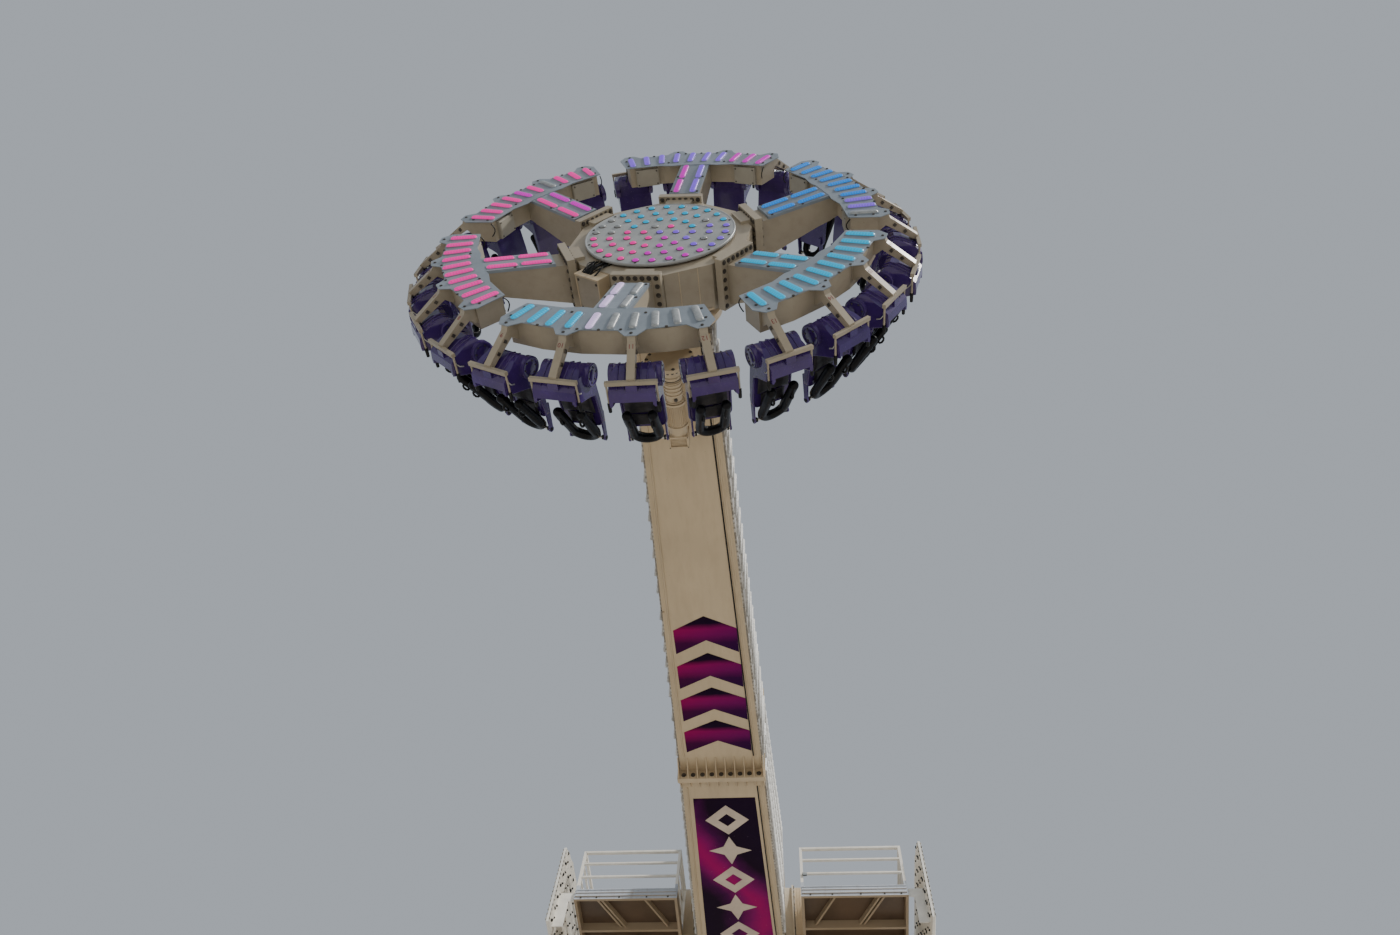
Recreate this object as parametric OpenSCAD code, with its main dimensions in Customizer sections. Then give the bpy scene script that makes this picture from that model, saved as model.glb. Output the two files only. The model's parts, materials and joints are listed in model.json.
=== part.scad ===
// Pendulum ride. A long arm swings on an axle between two towers and carries a
// turning ring of outward-facing seats. Sizes are in millimetres. X runs along the
// axle, Y towards the back and Z up. The origin is on the ground below the axle.

/* [Towers] */
// Height of the swing axle above the ground
axle_h = 18300; // [18200:50:19500]
// Clear distance between the two tower heads
head_gap = 2670; // [2640:10:2900]
// Width of each balcony
balcony_w = 2265; // [2100:5:2500]
// Depth of each balcony, front to back
balcony_d = 4700; // [4400:50:5200]
// Depth of a balcony's end bays
bay_d = 930; // [800:10:1000]
// Depth of the box that holds the bearing
head_d = 1800; // [1700:20:2200]
// Height of that box above the axle
head_above = 150; // [100:10:400]
// Height of that box below the axle
head_below = 2300; // [2200:20:2600]
// Depth of the balcony floor below the axle
floor_drop = 1110; // [1000:10:1250]
// Height of the fascia round the balcony floor
fascia_h = 240; // [160:10:320]
// Height of the railing above the balcony floor
rail_h = 1150; // [1000:10:1250]
// Side of the railing's posts and top rails
rail_t = 60; // [40:5:80]
// Side of the railing's middle rails
mid_rail_t = 44; // [30:2:60]
// Distance of the side light walls from the balconies
wall_gap = 360; // [250:10:450]
// Height of the side light walls
wall_h = 2300; // [1800:50:2500]
// Length of the side light walls, front to back
wall_l = 5200; // [4800:50:5600]

/* [Legs and base] */
// Distance of each foot from the middle plane
foot_x = 5400; // [5100:50:6500]
// Distance of each foot in front of or behind the axle
foot_y = 7300; // [6500:50:8500]
// Width of a leg at its top
leg_top = 800; // [600:20:900]
// Width of a leg at its foot
leg_foot = 520; // [400:10:600]
// Width of the tie beams between the legs
tie_w = 300; // [200:10:360]
// Width of the base beams
base_w = 520; // [400:10:600]
// Height of the base beams above their pads
base_h = 420; // [300:10:480]
// Thickness of the ground pads
pad_t = 60; // [40:5:90]
// Side of a ground pad
pad_w = 900; // [700:20:1000]

/* [Arm] */
// Length of the arm, from the axle to the face of the light plates
arm_len = 17400; // [16800:50:17500]
// Angle of the arm forward from straight down
rest_swing = 76; // [60:1:90]
// Width of the arm at its outer end
arm_tip_w = 1005; // [900:5:1100]
// Depth of the arm at its outer end
arm_tip_d = 600; // [560:10:700]
// Width of the arm at the bolted joint
arm_mid_w = 1450; // [1400:10:1600]
// Depth of the arm at the bolted joint
arm_mid_d = 1700; // [1500:10:1800]
// Width of the arm at the axle
arm_root_w = 1860; // [1750:10:1900]
// Radius of the rounded end of the arm round the axle
arm_root_r = 1520; // [1300:10:1600]
// Distance of the bolted joint from the axle
joint_at = 7140; // [6500:20:7800]
// Thickness of one joint flange
flange_t = 60; // [40:5:80]
// How far the joint flanges stand out at the sides
flange_out = 85; // [75:5:120]
// How far they stand out at the front and back
flange_deep = 190; // [120:5:220]
// Length of the gussets at the joint
gusset_l = 340; // [200:10:400]
// Thickness of a gusset
gusset_t = 16; // [10:1:25]
// Thickness of the light boards on the arm's sides
board_t = 65; // [50:5:80]
// Radius of the axle
axle_r = 300; // [250:5:350]
// Radius of the drums at the axle
drum_r = 820; // [700:10:900]

/* [Turning ring] */
// Angle of the ring about the arm
ring_turn = 9.2; // [0:0.1:20]
// Radius of the ring at the tips of the plate tabs
tab_r = 2925; // [2900:5:2950]
// Radius of the ring at the outer edge between tabs
plate_r = 2800; // [2780:5:2820]
// Radius of the corners on the plate's inner edge
plate_in_r = 2410; // [2380:5:2430]
// Thickness of the light plates
plate_t = 10; // [8:1:20]
// Radius of the round light disc
disc_r = 975; // [900:5:1000]
// Distance of the disc behind the plates
disc_back = 90; // [80:5:120]
// Distance across opposite sides of the twelve-sided hub
hub_w = 2300; // [2240:10:2340]
// Distance of the hub's outer edge behind the plates
hub_back = 150; // [140:5:170]
// Depth of the hub
hub_d = 600; // [560:10:640]
// Half the width of a hub flange
hub_flange_half = 306; // [290:2:310]
// Thickness of a hub flange
hub_flange_t = 50; // [30:5:60]
// Width of a spoke
spoke_w = 400; // [360:10:430]
// Depth of a spoke at the ring
spoke_end_d = 400; // [370:10:430]
// Depth of the curved beams
beam_d = 285; // [260:5:300]

/* [Seats] */
// Width of a seat
seat_w = 500; // [470:5:520]
// Thickness of a seat's sides
seat_wall = 40; // [30:2:45]
// Radius of the pan's rear corners
pan_corner = 190; // [120:5:210]
// Radius of the back's corners
back_corner = 45; // [25:5:60]
// Width of a seat bracket
bracket_w = 90; // [70:5:110]
// Side of that square tube
cross_t = 45; // [35:1:50]
// Radius of the side handles
rod_r = 12; // [10:1:15]
// Radius of the padded shoulder restraint
collar_r = 56; // [44:2:60]
// Half the distance between its two pads
collar_half = 142; // [130:2:146]
// Length of its straight pads
collar_l = 460; // [400:10:480]

/* [Hidden] */
$fn = 48;
arm_count = 6;
row_count = 4;
seat_count = arm_count*row_count;
arm_step = 360/arm_count;
seat_step = 15;
sides = ["left", "right"];
run_gap = 0.3;
fit_gap = 0.05;

// Tower heads
head_in = head_gap/2;
head_out = head_in + balcony_w;
floor_z = axle_h - floor_drop;
balcony_y = balcony_d/2;
head_y = head_d/2;
head_x0 = head_in + 140;
head_x1 = head_out - 620;
fascia_t = 60;
floor_t = 30;

// Legs
leg_top_x = (head_x0 + head_x1)/2;
leg_top_z = axle_h - head_below;
leg_top_y = 500;
base_top = pad_t + base_h;
end_t = 30;

// Arm, in its own frame: the axle is the origin and the ring lies down -Z
tip_z = -(arm_len - 1350);
joint_z = -joint_at;
arm_top_z = joint_z - flange_t;
arm_low_z = joint_z + flange_t;
drum_out = 1150;
drum_gap = 20;

// Hub and ring, in the ring's frame
hub_top = hub_back + hub_d;
ring_top = 1150;
flange_r = hub_w/2 + 100;
beam_in_r = 2440;
beam_out_r = 2780;
beam_top = 24;

// Frames

module on_side(s) {
    if (s == "left") mirror([1, 0, 0]) children();
    else children();
}

module front_and_back() {
    children();
    mirror([0, 1, 0]) children();
}

module in_arm() {
    translate([0, 0, axle_h]) rotate([-rest_swing, 0, 0]) children();
}

// The ring's frame has the plate face at z = 0 and Z towards the axle
module in_ring() {
    in_arm() translate([0, 0, -arm_len]) rotate([0, 0, ring_turn]) children();
}

// Frame of one ring arm, which points along Y
module at_arm(k) {
    in_ring() rotate([0, 0, (k - 1)*arm_step]) children();
}

function seat_angle(i) = (i - (row_count - 1)/2)*seat_step;

// Frame of seat n, which faces along Y
module at_seat(n) {
    at_arm(floor((n - 1)/row_count) + 1)
        rotate([0, 0, seat_angle((n - 1) % row_count)]) children();
}

// Shapes

// Box between x0 and x1, y0 and y1, z0 and z1
module box(x0, x1, y0, y1, z0, z1) {
    translate([x0, y0, z0]) cube([x1 - x0, y1 - y0, z1 - z0]);
}

// Outline in the YZ plane, given a width along X
module side_extrude(w) {
    translate([-w/2, 0, 0]) rotate([90, 0, 90]) linear_extrude(w) children();
}

// Outline in the XZ plane, given a depth along Y
module front_extrude(d) {
    translate([0, d/2, 0]) rotate([90, 0, 0]) linear_extrude(d) children();
}

// Rectangle between y0 and y1 whose corners at y0 are round
module round_end(w, r, y0, y1) {
    translate([-w/2, y0 + r]) square([w, y1 - y0 - r]);
    translate([r - w/2, y0]) square([w - 2*r, r + 1]);
    for (sx = [-1, 1]) translate([sx*(w/2 - r), y0 + r]) circle(r = r);
}

// Base and legs

base_beam_y = [-foot_y + 900, 0, foot_y - 900];
base_overhang = 500;

module base_frame() {
    color("silver") {
        for (sx = [-1, 1])
            translate([sx*foot_x - base_w/2, -foot_y - base_overhang, pad_t])
                cube([base_w, 2*(foot_y + base_overhang), base_h]);
        for (y = base_beam_y)
            translate([-foot_x, y - base_w/2, pad_t]) cube([2*foot_x, base_w, base_h]);
        for (sx = [-1, 1], sy = [-1, 0, 1])
            translate([sx*foot_x - pad_w/2, sy*foot_y - pad_w/2, 0]) cube([pad_w, pad_w, pad_t]);
        translate([-pad_w/2, -pad_w/2, 0]) cube([pad_w, pad_w, pad_t]);
    }
}

// Front leg of the right tower, lofted from its foot to the head
module leg() {
    color("wheat")
    hull() {
        translate([foot_x - leg_foot/2, -foot_y - leg_foot/2, base_top])
            cube([leg_foot, leg_foot, end_t]);
        translate([leg_top_x - leg_top/2, -leg_top_y - leg_top/2, leg_top_z - end_t])
            cube([leg_top, leg_top, end_t]);
    }
}

module leg_at(end, s) {
    on_side(s)
        if (end == "front") leg();
        else mirror([0, 1, 0]) leg();
}

// Middle line of a leg at height z
function leg_share(z) = (z - base_top)/(leg_top_z - base_top);
function leg_x(z) = foot_x + (leg_top_x - foot_x)*leg_share(z);
function leg_y(z) = foot_y + (leg_top_y - foot_y)*leg_share(z);

tie_heights = [5200, 10400];

module tie_beams() {
    color("wheat")
    for (s = sides, z = tie_heights)
        on_side(s) difference() {
            translate([leg_x(z) - tie_w/2, -leg_y(z), z - tie_w/2])
                cube([tie_w, 2*leg_y(z), tie_w]);
            leg();
            mirror([0, 1, 0]) leg();
        }
}

// Tower heads

seam_t = 12;
seam_count = 5;

// Bearing box with its round housing, banded where the plates join
module tower_head() {
    band_l = (head_x0 - drum_out - drum_gap)/seam_count;
    color("wheat")
    difference() {
        union() {
            box(head_x0, head_x1, -head_y, head_y, leg_top_z, axle_h + head_above);
            translate([0, 0, axle_h]) rotate([0, 90, 0]) {
                translate([0, 0, drum_out + drum_gap])
                    cylinder(r = drum_r - 10, h = head_x0 - drum_out - drum_gap);
                for (i = [0:seam_count - 1])
                    translate([0, 0, drum_out + drum_gap + i*band_l])
                        cylinder(r = drum_r, h = band_l - seam_t);
                translate([0, 0, head_x0]) cylinder(r = drum_r, h = head_x1 - head_x0);
            }
        }
        translate([0, 0, axle_h]) rotate([0, 90, 0])
            cylinder(r = axle_r + fit_gap, h = 3*head_out);
    }
}

// Slanting joist under an end bay, from x0 at the cross beam to x1 at the front
joist_w = 45;
joist_h = 120;
joist_run = 480;

module joist(x_front) {
    y0 = -balcony_y + fascia_t - 5;
    y1 = -balcony_y + bay_d + 5;
    translate([0, 0, floor_z - joist_h - floor_t])
        linear_extrude(joist_h + 5)
            polygon([[x_front, y0], [x_front + joist_w, y0],
                     [x_front + joist_w - joist_run, y1], [x_front - joist_run, y1]]);
}

module balcony() {
    color("whitesmoke") {
        difference() {
            box(head_in, head_out, -balcony_y, balcony_y, floor_z - fascia_h, floor_z);
            box(head_in + fascia_t, head_out - fascia_t, -balcony_y + fascia_t, balcony_y - fascia_t,
                floor_z - fascia_h - 1, floor_z - floor_t);
            box(head_x0, head_x1, -head_y, head_y, floor_z - fascia_h - 1, floor_z + 1);
        }
        front_and_back() {
            // Cross beams at the end of the bay and beside the head
            for (y = [-balcony_y + bay_d, -head_y - fascia_t])
                box(head_in + 1, head_out - 1, y, y + fascia_t - 1, floor_z - fascia_h + 10, floor_z - 1);
            for (x = [head_in + 0.33*balcony_w, head_in + 0.75*balcony_w]) joist(x);
            joist(head_in + 0.75*balcony_w + 2*joist_w);
        }
        railing();
    }
}

// Railing round the front, the outside and the back of the floor
module railing() {
    x0 = head_in + 5;
    x1 = head_out - rail_t - 5;
    y1 = balcony_y - rail_t - 5;
    side_l = balcony_y - head_y - 200;
    module rail_ring(z, t) {
        inset = (rail_t - t)/2 + 1;
        for (y = [-y1 - rail_t, y1])
            box(x0 + 2, x1 + rail_t - 2, y + inset, y + inset + t - 2, z, z + t);
        box(x1 + inset, x1 + inset + t - 2, -y1 - rail_t + 2, y1 + rail_t - 2, z + 1, z + t - 1);
        for (sy = [-1, 1])
            translate([x0 + inset, sy*(balcony_y - 5 - side_l/2) - side_l/2 + 2, z + 1])
                cube([t - 2, side_l - 4, t - 2]);
    }
    for (share = [1/3, 2/3]) rail_ring(floor_z + rail_h*share, mid_rail_t);
    rail_ring(floor_z + rail_h - rail_t, rail_t);
    for (p = [[x0, y1], [x1, y1], [x1, y1/3], [x0, y1 - side_l + rail_t]], sy = [-1, 1])
        translate([p[0], sy*(p[1] + rail_t/2) - rail_t/2, floor_z - 10]) cube([rail_t, rail_t, rail_h + 9]);
}

drive_r = 430;
drive_l = 240;
motor_l = 260;

module swing_drives() {
    color("dimgray")
    for (s = sides) on_side(s)
        translate([head_x1 + run_gap, 0, axle_h]) rotate([0, 90, 0]) {
            cylinder(r = drive_r, h = drive_l);
            translate([0, 0, drive_l]) cylinder(r = 0.6*drive_r, h = motor_l);
        }
}

wall_t = 50;
wall_top = axle_h + 160;
wall_notch = [850, 260];
bracket_t = 12;
wall_bracket_h = 900;
bracket_foot = 240;

// Tall light boards outside the balconies, held off them by bracket plates
module side_light_walls() {
    x0 = head_out + wall_gap;
    y0 = -wall_l/2;
    z0 = wall_top - wall_h;
    color("white")
    for (s = sides) on_side(s) {
        translate([x0 + wall_t/2, 0, 0]) side_extrude(wall_t)
            polygon([[y0, z0], [-y0, z0], [-y0, wall_top - wall_notch[1]], [-y0 - wall_notch[0], wall_top],
                     [y0 + wall_notch[0], wall_top], [y0, wall_top - wall_notch[1]]]);
        for (sy = [-1, 1]) translate([0, sy*(balcony_y - 60), 0]) front_extrude(bracket_t)
            polygon([[head_out, floor_z - 20], [x0, floor_z - 20], [x0, floor_z - wall_bracket_h],
                     [x0 - bracket_foot, floor_z - wall_bracket_h],
                     [x0 - bracket_foot, floor_z - fascia_h], [head_out, floor_z - fascia_h + 20]]);
    }
}

// Arm

module arm_axle() {
    color("gray")
    in_arm() for (s = sides) on_side(s) rotate([0, 90, 0]) {
        translate([0, 0, arm_root_w/2]) cylinder(r = drum_r, h = drum_out - arm_root_w/2 - 40);
        translate([0, 0, drum_out - 40]) cylinder(r = drum_r + 60, h = 40);
        translate([0, 0, drum_out]) cylinder(r = axle_r, h = head_x1 - drum_out);
    }
}

// Half the width and half the depth of the arm at height z
function outer_half_w(z) = (arm_tip_w + (arm_mid_w - arm_tip_w)*(z - tip_z)/(arm_top_z - tip_z))/2;
function outer_half_d(z) = (arm_tip_d + (arm_mid_d - arm_tip_d)*(z - tip_z)/(arm_top_z - tip_z))/2;
function root_half_w(z) = (arm_mid_w + (arm_root_w - arm_mid_w)*(z - arm_low_z)/(0 - arm_low_z))/2;

// Where the side outline from the joint runs into the round end
joint_dist = norm([arm_mid_d/2, arm_low_z]);
touch_angle = atan(arm_mid_d/2/-arm_low_z) + acos(arm_root_r/joint_dist);
touch_r = arm_root_r - 8;
touch_y = touch_r*sin(touch_angle);
touch_z = -touch_r*cos(touch_angle);

function root_half_d(z) = arm_mid_d/2 + (touch_y - arm_mid_d/2)*(z - arm_low_z)/(touch_z - arm_low_z);

module joint_flange(z0) {
    translate([-arm_mid_w/2 - flange_out, -arm_mid_d/2 - flange_deep, z0])
        cube([arm_mid_w + 2*flange_out, arm_mid_d + 2*flange_deep, flange_t]);
}

gusset_count = 10;
gusset_sink = 12;

// Row of gussets on the front and back of a joint flange, towards dz
module gussets(z_flange, dz, half_d) {
    pitch = (arm_mid_w + 2*flange_out - 60)/(gusset_count - 1);
    z_end = z_flange + dz*gusset_l;
    front_and_back()
        for (i = [0:gusset_count - 1])
            translate([(i - (gusset_count - 1)/2)*pitch, 0, 0])
                side_extrude(gusset_t)
                    polygon([[arm_mid_d/2 - gusset_sink, z_flange - dz*5],
                             [arm_mid_d/2 + flange_deep - 15, z_flange - dz*5],
                             [arm_mid_d/2 + flange_deep - 15, z_flange + dz*20],
                             [half_d + gusset_sink, z_end], [half_d - gusset_sink, z_end]]);
}

module arm_root_section() {
    half_w = arm_root_w/2;
    half_mid = arm_mid_w/2;
    far = arm_root_r + 100;
    color("wheat")
    in_arm() {
        intersection() {
            side_extrude(arm_root_w + 100) {
                circle(r = arm_root_r);
                polygon([[-arm_mid_d/2, arm_low_z], [arm_mid_d/2, arm_low_z], [touch_y, touch_z],
                         [0, 0], [-touch_y, touch_z]]);
            }
            front_extrude(2*far)
                polygon([[-half_mid, arm_low_z], [half_mid, arm_low_z], [half_w, 0], [half_w, far],
                         [-half_w, far], [-half_w, 0]]);
        }
        joint_flange(joint_z);
        gussets(arm_low_z, 1, root_half_d(arm_low_z + gusset_l));
    }
}

module arm_outer_section() {
    color("wheat")
    in_arm() {
        intersection() {
            side_extrude(2*arm_mid_w)
                polygon([[-arm_tip_d/2, tip_z], [arm_tip_d/2, tip_z], [arm_mid_d/2, arm_top_z],
                         [-arm_mid_d/2, arm_top_z]]);
            front_extrude(2*arm_mid_d)
                polygon([[-arm_tip_w/2, tip_z], [arm_tip_w/2, tip_z], [arm_mid_w/2, arm_top_z],
                         [-arm_mid_w/2, arm_top_z]]);
        }
        joint_flange(arm_top_z);
        gussets(arm_top_z, -1, outer_half_d(arm_top_z - gusset_l));
        // Round end that carries the slewing ring
        translate([0, 0, tip_z - 120]) cylinder(r = 560, h = 125);
        translate([0, 0, tip_z - 200 + run_gap]) cylinder(r = 720, h = 100);
    }
}

board_step_z = -11070;
board_end_z = -2050;
board_inset = 40;

// Light board on the arm's right side from z0 to z1, which follows its taper
module side_board(z0, z1, w0, w1, d0, d1) {
    intersection() {
        front_extrude(2*arm_root_r)
            polygon([[w0 + run_gap, z0], [w0 + board_t, z0], [w1 + board_t, z1], [w1 + run_gap, z1]]);
        side_extrude(2*arm_root_w)
            polygon([[board_inset - d0, z0], [d0 - board_inset, z0], [d1 - board_inset, z1],
                     [board_inset - d1, z1]]);
    }
}

module outer_board(z0, z1) {
    side_board(z0, z1, outer_half_w(z0), outer_half_w(z1), outer_half_d(z0), outer_half_d(z1));
}

module root_board(z0, z1) {
    side_board(z0, z1, root_half_w(z0), root_half_w(z1), root_half_d(z0), root_half_d(z1));
}

module arm_light_boards() {
    seam = 15;
    color("white")
    in_arm() for (s = sides) on_side(s) {
        outer_board(tip_z + 100, board_step_z - seam);
        outer_board(board_step_z + seam, arm_top_z - seam);
        root_board(arm_low_z + seam, board_end_z);
    }
}

motor_y = 700;
bell_z = tip_z + 210;
bell_r = 330;
bell_rim = 45;
bell_l = 240;
neck_r = 126;
gear_r = 112;
gear_l = 420;
motor_r = 130;
spin_motor_l = 520;
cowl_w = 280;
cowl_l = 185;
cowl_recess = 30;
shelf_half = 250;

// Half outline of the bell-shaped gear housing
module bell_section() {
    flare_r = bell_l - bell_rim;
    difference() {
        square([bell_r, bell_l]);
        translate([neck_r + flare_r, bell_l + 1]) circle(r = flare_r);
    }
}

// Tall gear motor in front of the arm: a bell on a shelf, the gears, the motor and its cowl
module spin_drive() {
    gear_z = bell_z + bell_l;
    motor_z = gear_z + gear_l;
    cowl_z = motor_z + spin_motor_l;
    color("wheat")
    in_arm() {
        intersection() {
            translate([0, motor_y, bell_z]) rotate_extrude() bell_section();
            box(-500, 500, outer_half_d(gear_z) + run_gap, 2*motor_y, bell_z, gear_z);
        }
        box(-shelf_half, shelf_half, outer_half_d(bell_z + bell_rim) + run_gap, motor_y,
            bell_z, bell_z + bell_rim);
        translate([0, motor_y, gear_z - 1]) cylinder(r = gear_r, h = gear_l + 2);
        for (i = [0:3])
            translate([0, motor_y, gear_z + 120 + i*55]) cylinder(r = gear_r + 12, h = 28);
        translate([0, motor_y, motor_z]) cylinder(r = motor_r, h = spin_motor_l);
        for (z = [0, spin_motor_l - 150])
            translate([0, motor_y, motor_z + z]) cylinder(r = motor_r + 18, h = 30);
        difference() {
            translate([-cowl_w/2, motor_y - cowl_w/2, cowl_z]) cube([cowl_w, cowl_w, cowl_l]);
            translate([-cowl_w/2 + 25, motor_y + cowl_w/2 - cowl_recess, cowl_z + 25])
                cube([cowl_w - 50, 2*cowl_recess, cowl_l - 50]);
        }
    }
}

// Hub and ring

junction_w = 400;
junction_d = 180;

module hub() {
    color("wheat")
    in_ring() {
        rotate([0, 0, 15]) translate([0, 0, hub_back])
            cylinder(r = hub_w/2/cos(15), h = hub_d, $fn = 12);
        translate([0, 0, hub_top]) cylinder(r = 620, h = ring_top - hub_top);
        rotate([0, 0, arm_step/2])
            box(-junction_w/2, junction_w/2, hub_w/2 - 40, hub_w/2 + junction_d, hub_back + 20, hub_top - 60);
        for (k = [0:arm_count - 1]) rotate([0, 0, k*arm_step]) {
            box(-spoke_w/2 + 20, spoke_w/2 - 20, hub_w/2 - 100, flange_r, hub_back - 40, hub_top - 40);
            box(-hub_flange_half, hub_flange_half, flange_r - hub_flange_t, flange_r, 70, hub_top - 10);
        }
    }
}

// Disc on short standoffs
module light_disc() {
    color("lightgray")
    in_ring() {
        translate([0, 0, disc_back]) cylinder(r = disc_r, h = 14);
        for (a = [0:arm_step:359], r = [360, 800])
            rotate([0, 0, a + 30]) translate([0, r, disc_back]) cylinder(r = 40, h = hub_back - disc_back);
    }
}

strip_w = 420;
strip_lip = 40;
strip_r0 = 1430;
strip_r1 = 2320;
strip_z0 = 112;
strip_z1 = 4;
tab_half = 1.3;
tab_foot = 3.2;
plate_end = 25.2;

function polar(r, a) = [r*sin(a), r*cos(a)];

function plate_edge() = [for (i = [0:row_count - 1])
    let (a = seat_angle(i))
    each [polar(plate_r, a - tab_foot), polar(tab_r, a - tab_half),
          polar(tab_r, a + tab_half), polar(plate_r, a + tab_foot)]];

module plate_outline() {
    polygon(concat(plate_edge(),
        [polar(plate_in_r, plate_end), [560, 2285], [330, 2268], [strip_w/2 - 1, strip_r1 - 25],
         [1 - strip_w/2, strip_r1 - 25], [-330, 2268], [-560, 2285], polar(plate_in_r, -plate_end)]));
}

// Sloping tray over a spoke
module strip_tray() {
    side_extrude(strip_w)
        polygon([[strip_r0, strip_z0], [strip_r1, strip_z1], [strip_r1, strip_z1 + strip_lip],
                 [strip_r0, strip_z0 + strip_lip]]);
}

module light_plates() {
    color("lightgray")
    for (k = [1:arm_count]) at_arm(k) {
        linear_extrude(plate_t) plate_outline();
        strip_tray();
    }
}

// Height of a spoke's top face below its tray
function spoke_top(r) =
    strip_z0 + strip_lip + run_gap + (strip_z1 - strip_z0)*(r - strip_r0)/(strip_r1 - strip_r0);

module beam_outline() {
    polygon(concat(
        [for (a = [-24, -15, -5, 5, 15, 24]) polar(beam_out_r, a)],
        [for (a = [24, 12, 0, -12, -24]) polar(beam_in_r, a)]));
}

module curved_beam() {
    translate([0, 0, beam_top]) linear_extrude(beam_d) beam_outline();
}

module spoke_arm(k) {
    half = spoke_w/2;
    r0 = flange_r + run_gap;
    color("wheat")
    at_arm(k) {
        curved_beam();
        // Spoke with a curved lower edge into the beam
        side_extrude(spoke_w)
            difference() {
                polygon([[r0, spoke_top(r0)], [strip_r1, spoke_top(strip_r1)],
                         [beam_in_r + 60, beam_top + 40], [beam_in_r + 60, beam_top + beam_d], [2150, spoke_end_d], [r0, hub_top - 40]]);
                translate([beam_in_r + 10, beam_top + beam_d + 230]) circle(r = 225);
            }
        // Bolted flange at the hub
        box(-hub_flange_half, hub_flange_half, r0, r0 + hub_flange_t, 70, hub_top - 10);
        for (i = [0:row_count - 1]) rotate([0, 0, seat_angle(i)]) seat_bracket();
    }
}

cross_y = tab_r + 355;
cross_z = 362;
bracket_r = beam_in_r + 100;
rod_gap = 3;
rod_x = seat_w/2 + rod_gap + rod_r;
cross_l = 2*(rod_x + rod_r + rod_gap);
rod_l = 320;

module seat_bracket() {
    side_extrude(bracket_w)
        polygon([[bracket_r, beam_top + 20], [tab_r - 20, plate_t + run_gap], [tab_r + 5, 70],
                 [cross_y, cross_z - cross_t], [cross_y, cross_z + 5], [cross_y - 55, cross_z + 5],
                 [tab_r - 45, 165], [beam_out_r + 20, 230], [bracket_r, 230]]);
    translate([-cross_l/2, cross_y - cross_t/2, cross_z - cross_t/2]) cube([cross_l, cross_t, cross_t]);
    for (sx = [-1, 1])
        translate([sx*rod_x, cross_y, cross_z]) cylinder(r = rod_r, h = rod_l);
}

// Seats

pan_z = 300;
back_top = 1220;
back_round = 95;
bucket_top = 700;
side_disc_r = 135;
side_disc_at = [2, 472];
side_disc_out = 34;

// Outline of the shell from the side; its Y is measured from the plate's tabs
module seat_side() {
    polygon([[405, 570], [395, 470], [315, 400], [155, 322], [55, pan_z], [-10, 330], [-55, 420],
             [-90, 560], [-135, 850], [-172, back_top + 5], [-124, back_top + 5], [-90, 1000], [-50, 760],
             [65, bucket_top], [405, 610]]);
}

// Outline of the shell from the front, with round corners
module seat_front() {
    half = seat_w/2 + 1;
    low = pan_z - 2;
    translate([-half, low + back_round]) square([2*half, back_top - low - 2*back_round]);
    translate([back_round - half, low]) square([2*(half - back_round), back_top - low]);
    for (sx = [-1, 1], z = [low + back_round, back_top - back_round])
        translate([sx*(half - back_round), z]) circle(r = back_round);
}

// Outline of the rider's space inside it
module seat_hollow() {
    polygon([[475, 590], [365, 560], [195, 430], [85, 400], [25, 430], [-15, 520], [-50, 700],
             [-87, 990], [-133, back_top + 60], [575, back_top + 60], [575, 590]]);
}

// Bucket seat: a rounded pan below, a narrower round on the back
module seat_shell() {
    translate([0, tab_r, 0]) difference() {
        intersection() {
            side_extrude(seat_w) seat_side();
            front_extrude(2*seat_w + 200) seat_front();
            union() {
                linear_extrude(bucket_top) round_end(seat_w, pan_corner, -145, 475);
                translate([0, 0, bucket_top - 200])
                    linear_extrude(back_top) round_end(seat_w - 2, back_corner, -185, 35);
            }
        }
        side_extrude(seat_w - 2*seat_wall) seat_hollow();
    }
    // Round covers on both sides
    for (sx = [-1, 1]) translate([sx*(seat_w/2 + side_disc_out), tab_r + side_disc_at[0], side_disc_at[1]])
        rotate([0, -sx*90, 0]) cylinder(r = side_disc_r, h = side_disc_out + 25);
    // Mount on the square tube
    box(-60, 60, cross_y - 30, cross_y + 30, cross_z + cross_t/2, cross_z + cross_t/2 + 90);
}

hinge_y = tab_r - 157;
hinge_z = 1405;
hinge_r = 22;
ear_x = collar_half + collar_r + 10;
ear_t = 20;

// Upright lugs with the collar's hinge bores
module seat_ears() {
    for (sx = [-1, 1])
        translate([sx*(ear_x + ear_t/2), hinge_y, 0]) side_extrude(ear_t)
            difference() {
                union() {
                    polygon([[-45, back_top - 160], [35, back_top - 160], [25, hinge_z], [-28, hinge_z]]);
                    translate([0, hinge_z]) circle(r = 36);
                }
                translate([0, hinge_z]) circle(r = hinge_r + fit_gap);
            }
}

module seat_row(k) {
    color("indigo")
    at_arm(k) for (i = [0:row_count - 1]) rotate([0, 0, seat_angle(i)]) {
        seat_shell();
        seat_ears();
    }
}

// Padded collar: two pads down the chest, closed by a half ring behind the neck
collar_lean = 32;

module restraint(n) {
    color("black")
    at_seat(n) {
        translate([-ear_x - ear_t - 5, hinge_y, hinge_z]) rotate([0, 90, 0])
            cylinder(r = hinge_r, h = 2*(ear_x + ear_t + 5));
        translate([0, hinge_y, hinge_z]) rotate([collar_lean, 0, 0]) {
            translate([0, 0, -collar_half]) rotate([90, 0, 0])
                rotate_extrude(angle = 180) translate([collar_half, 0]) circle(r = collar_r);
            for (sx = [-1, 1]) translate([sx*collar_half, 0, -collar_half - collar_l]) {
                cylinder(r = collar_r, h = collar_l);
                sphere(r = collar_r);
            }
        }
    }
}

// Nodes

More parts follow.
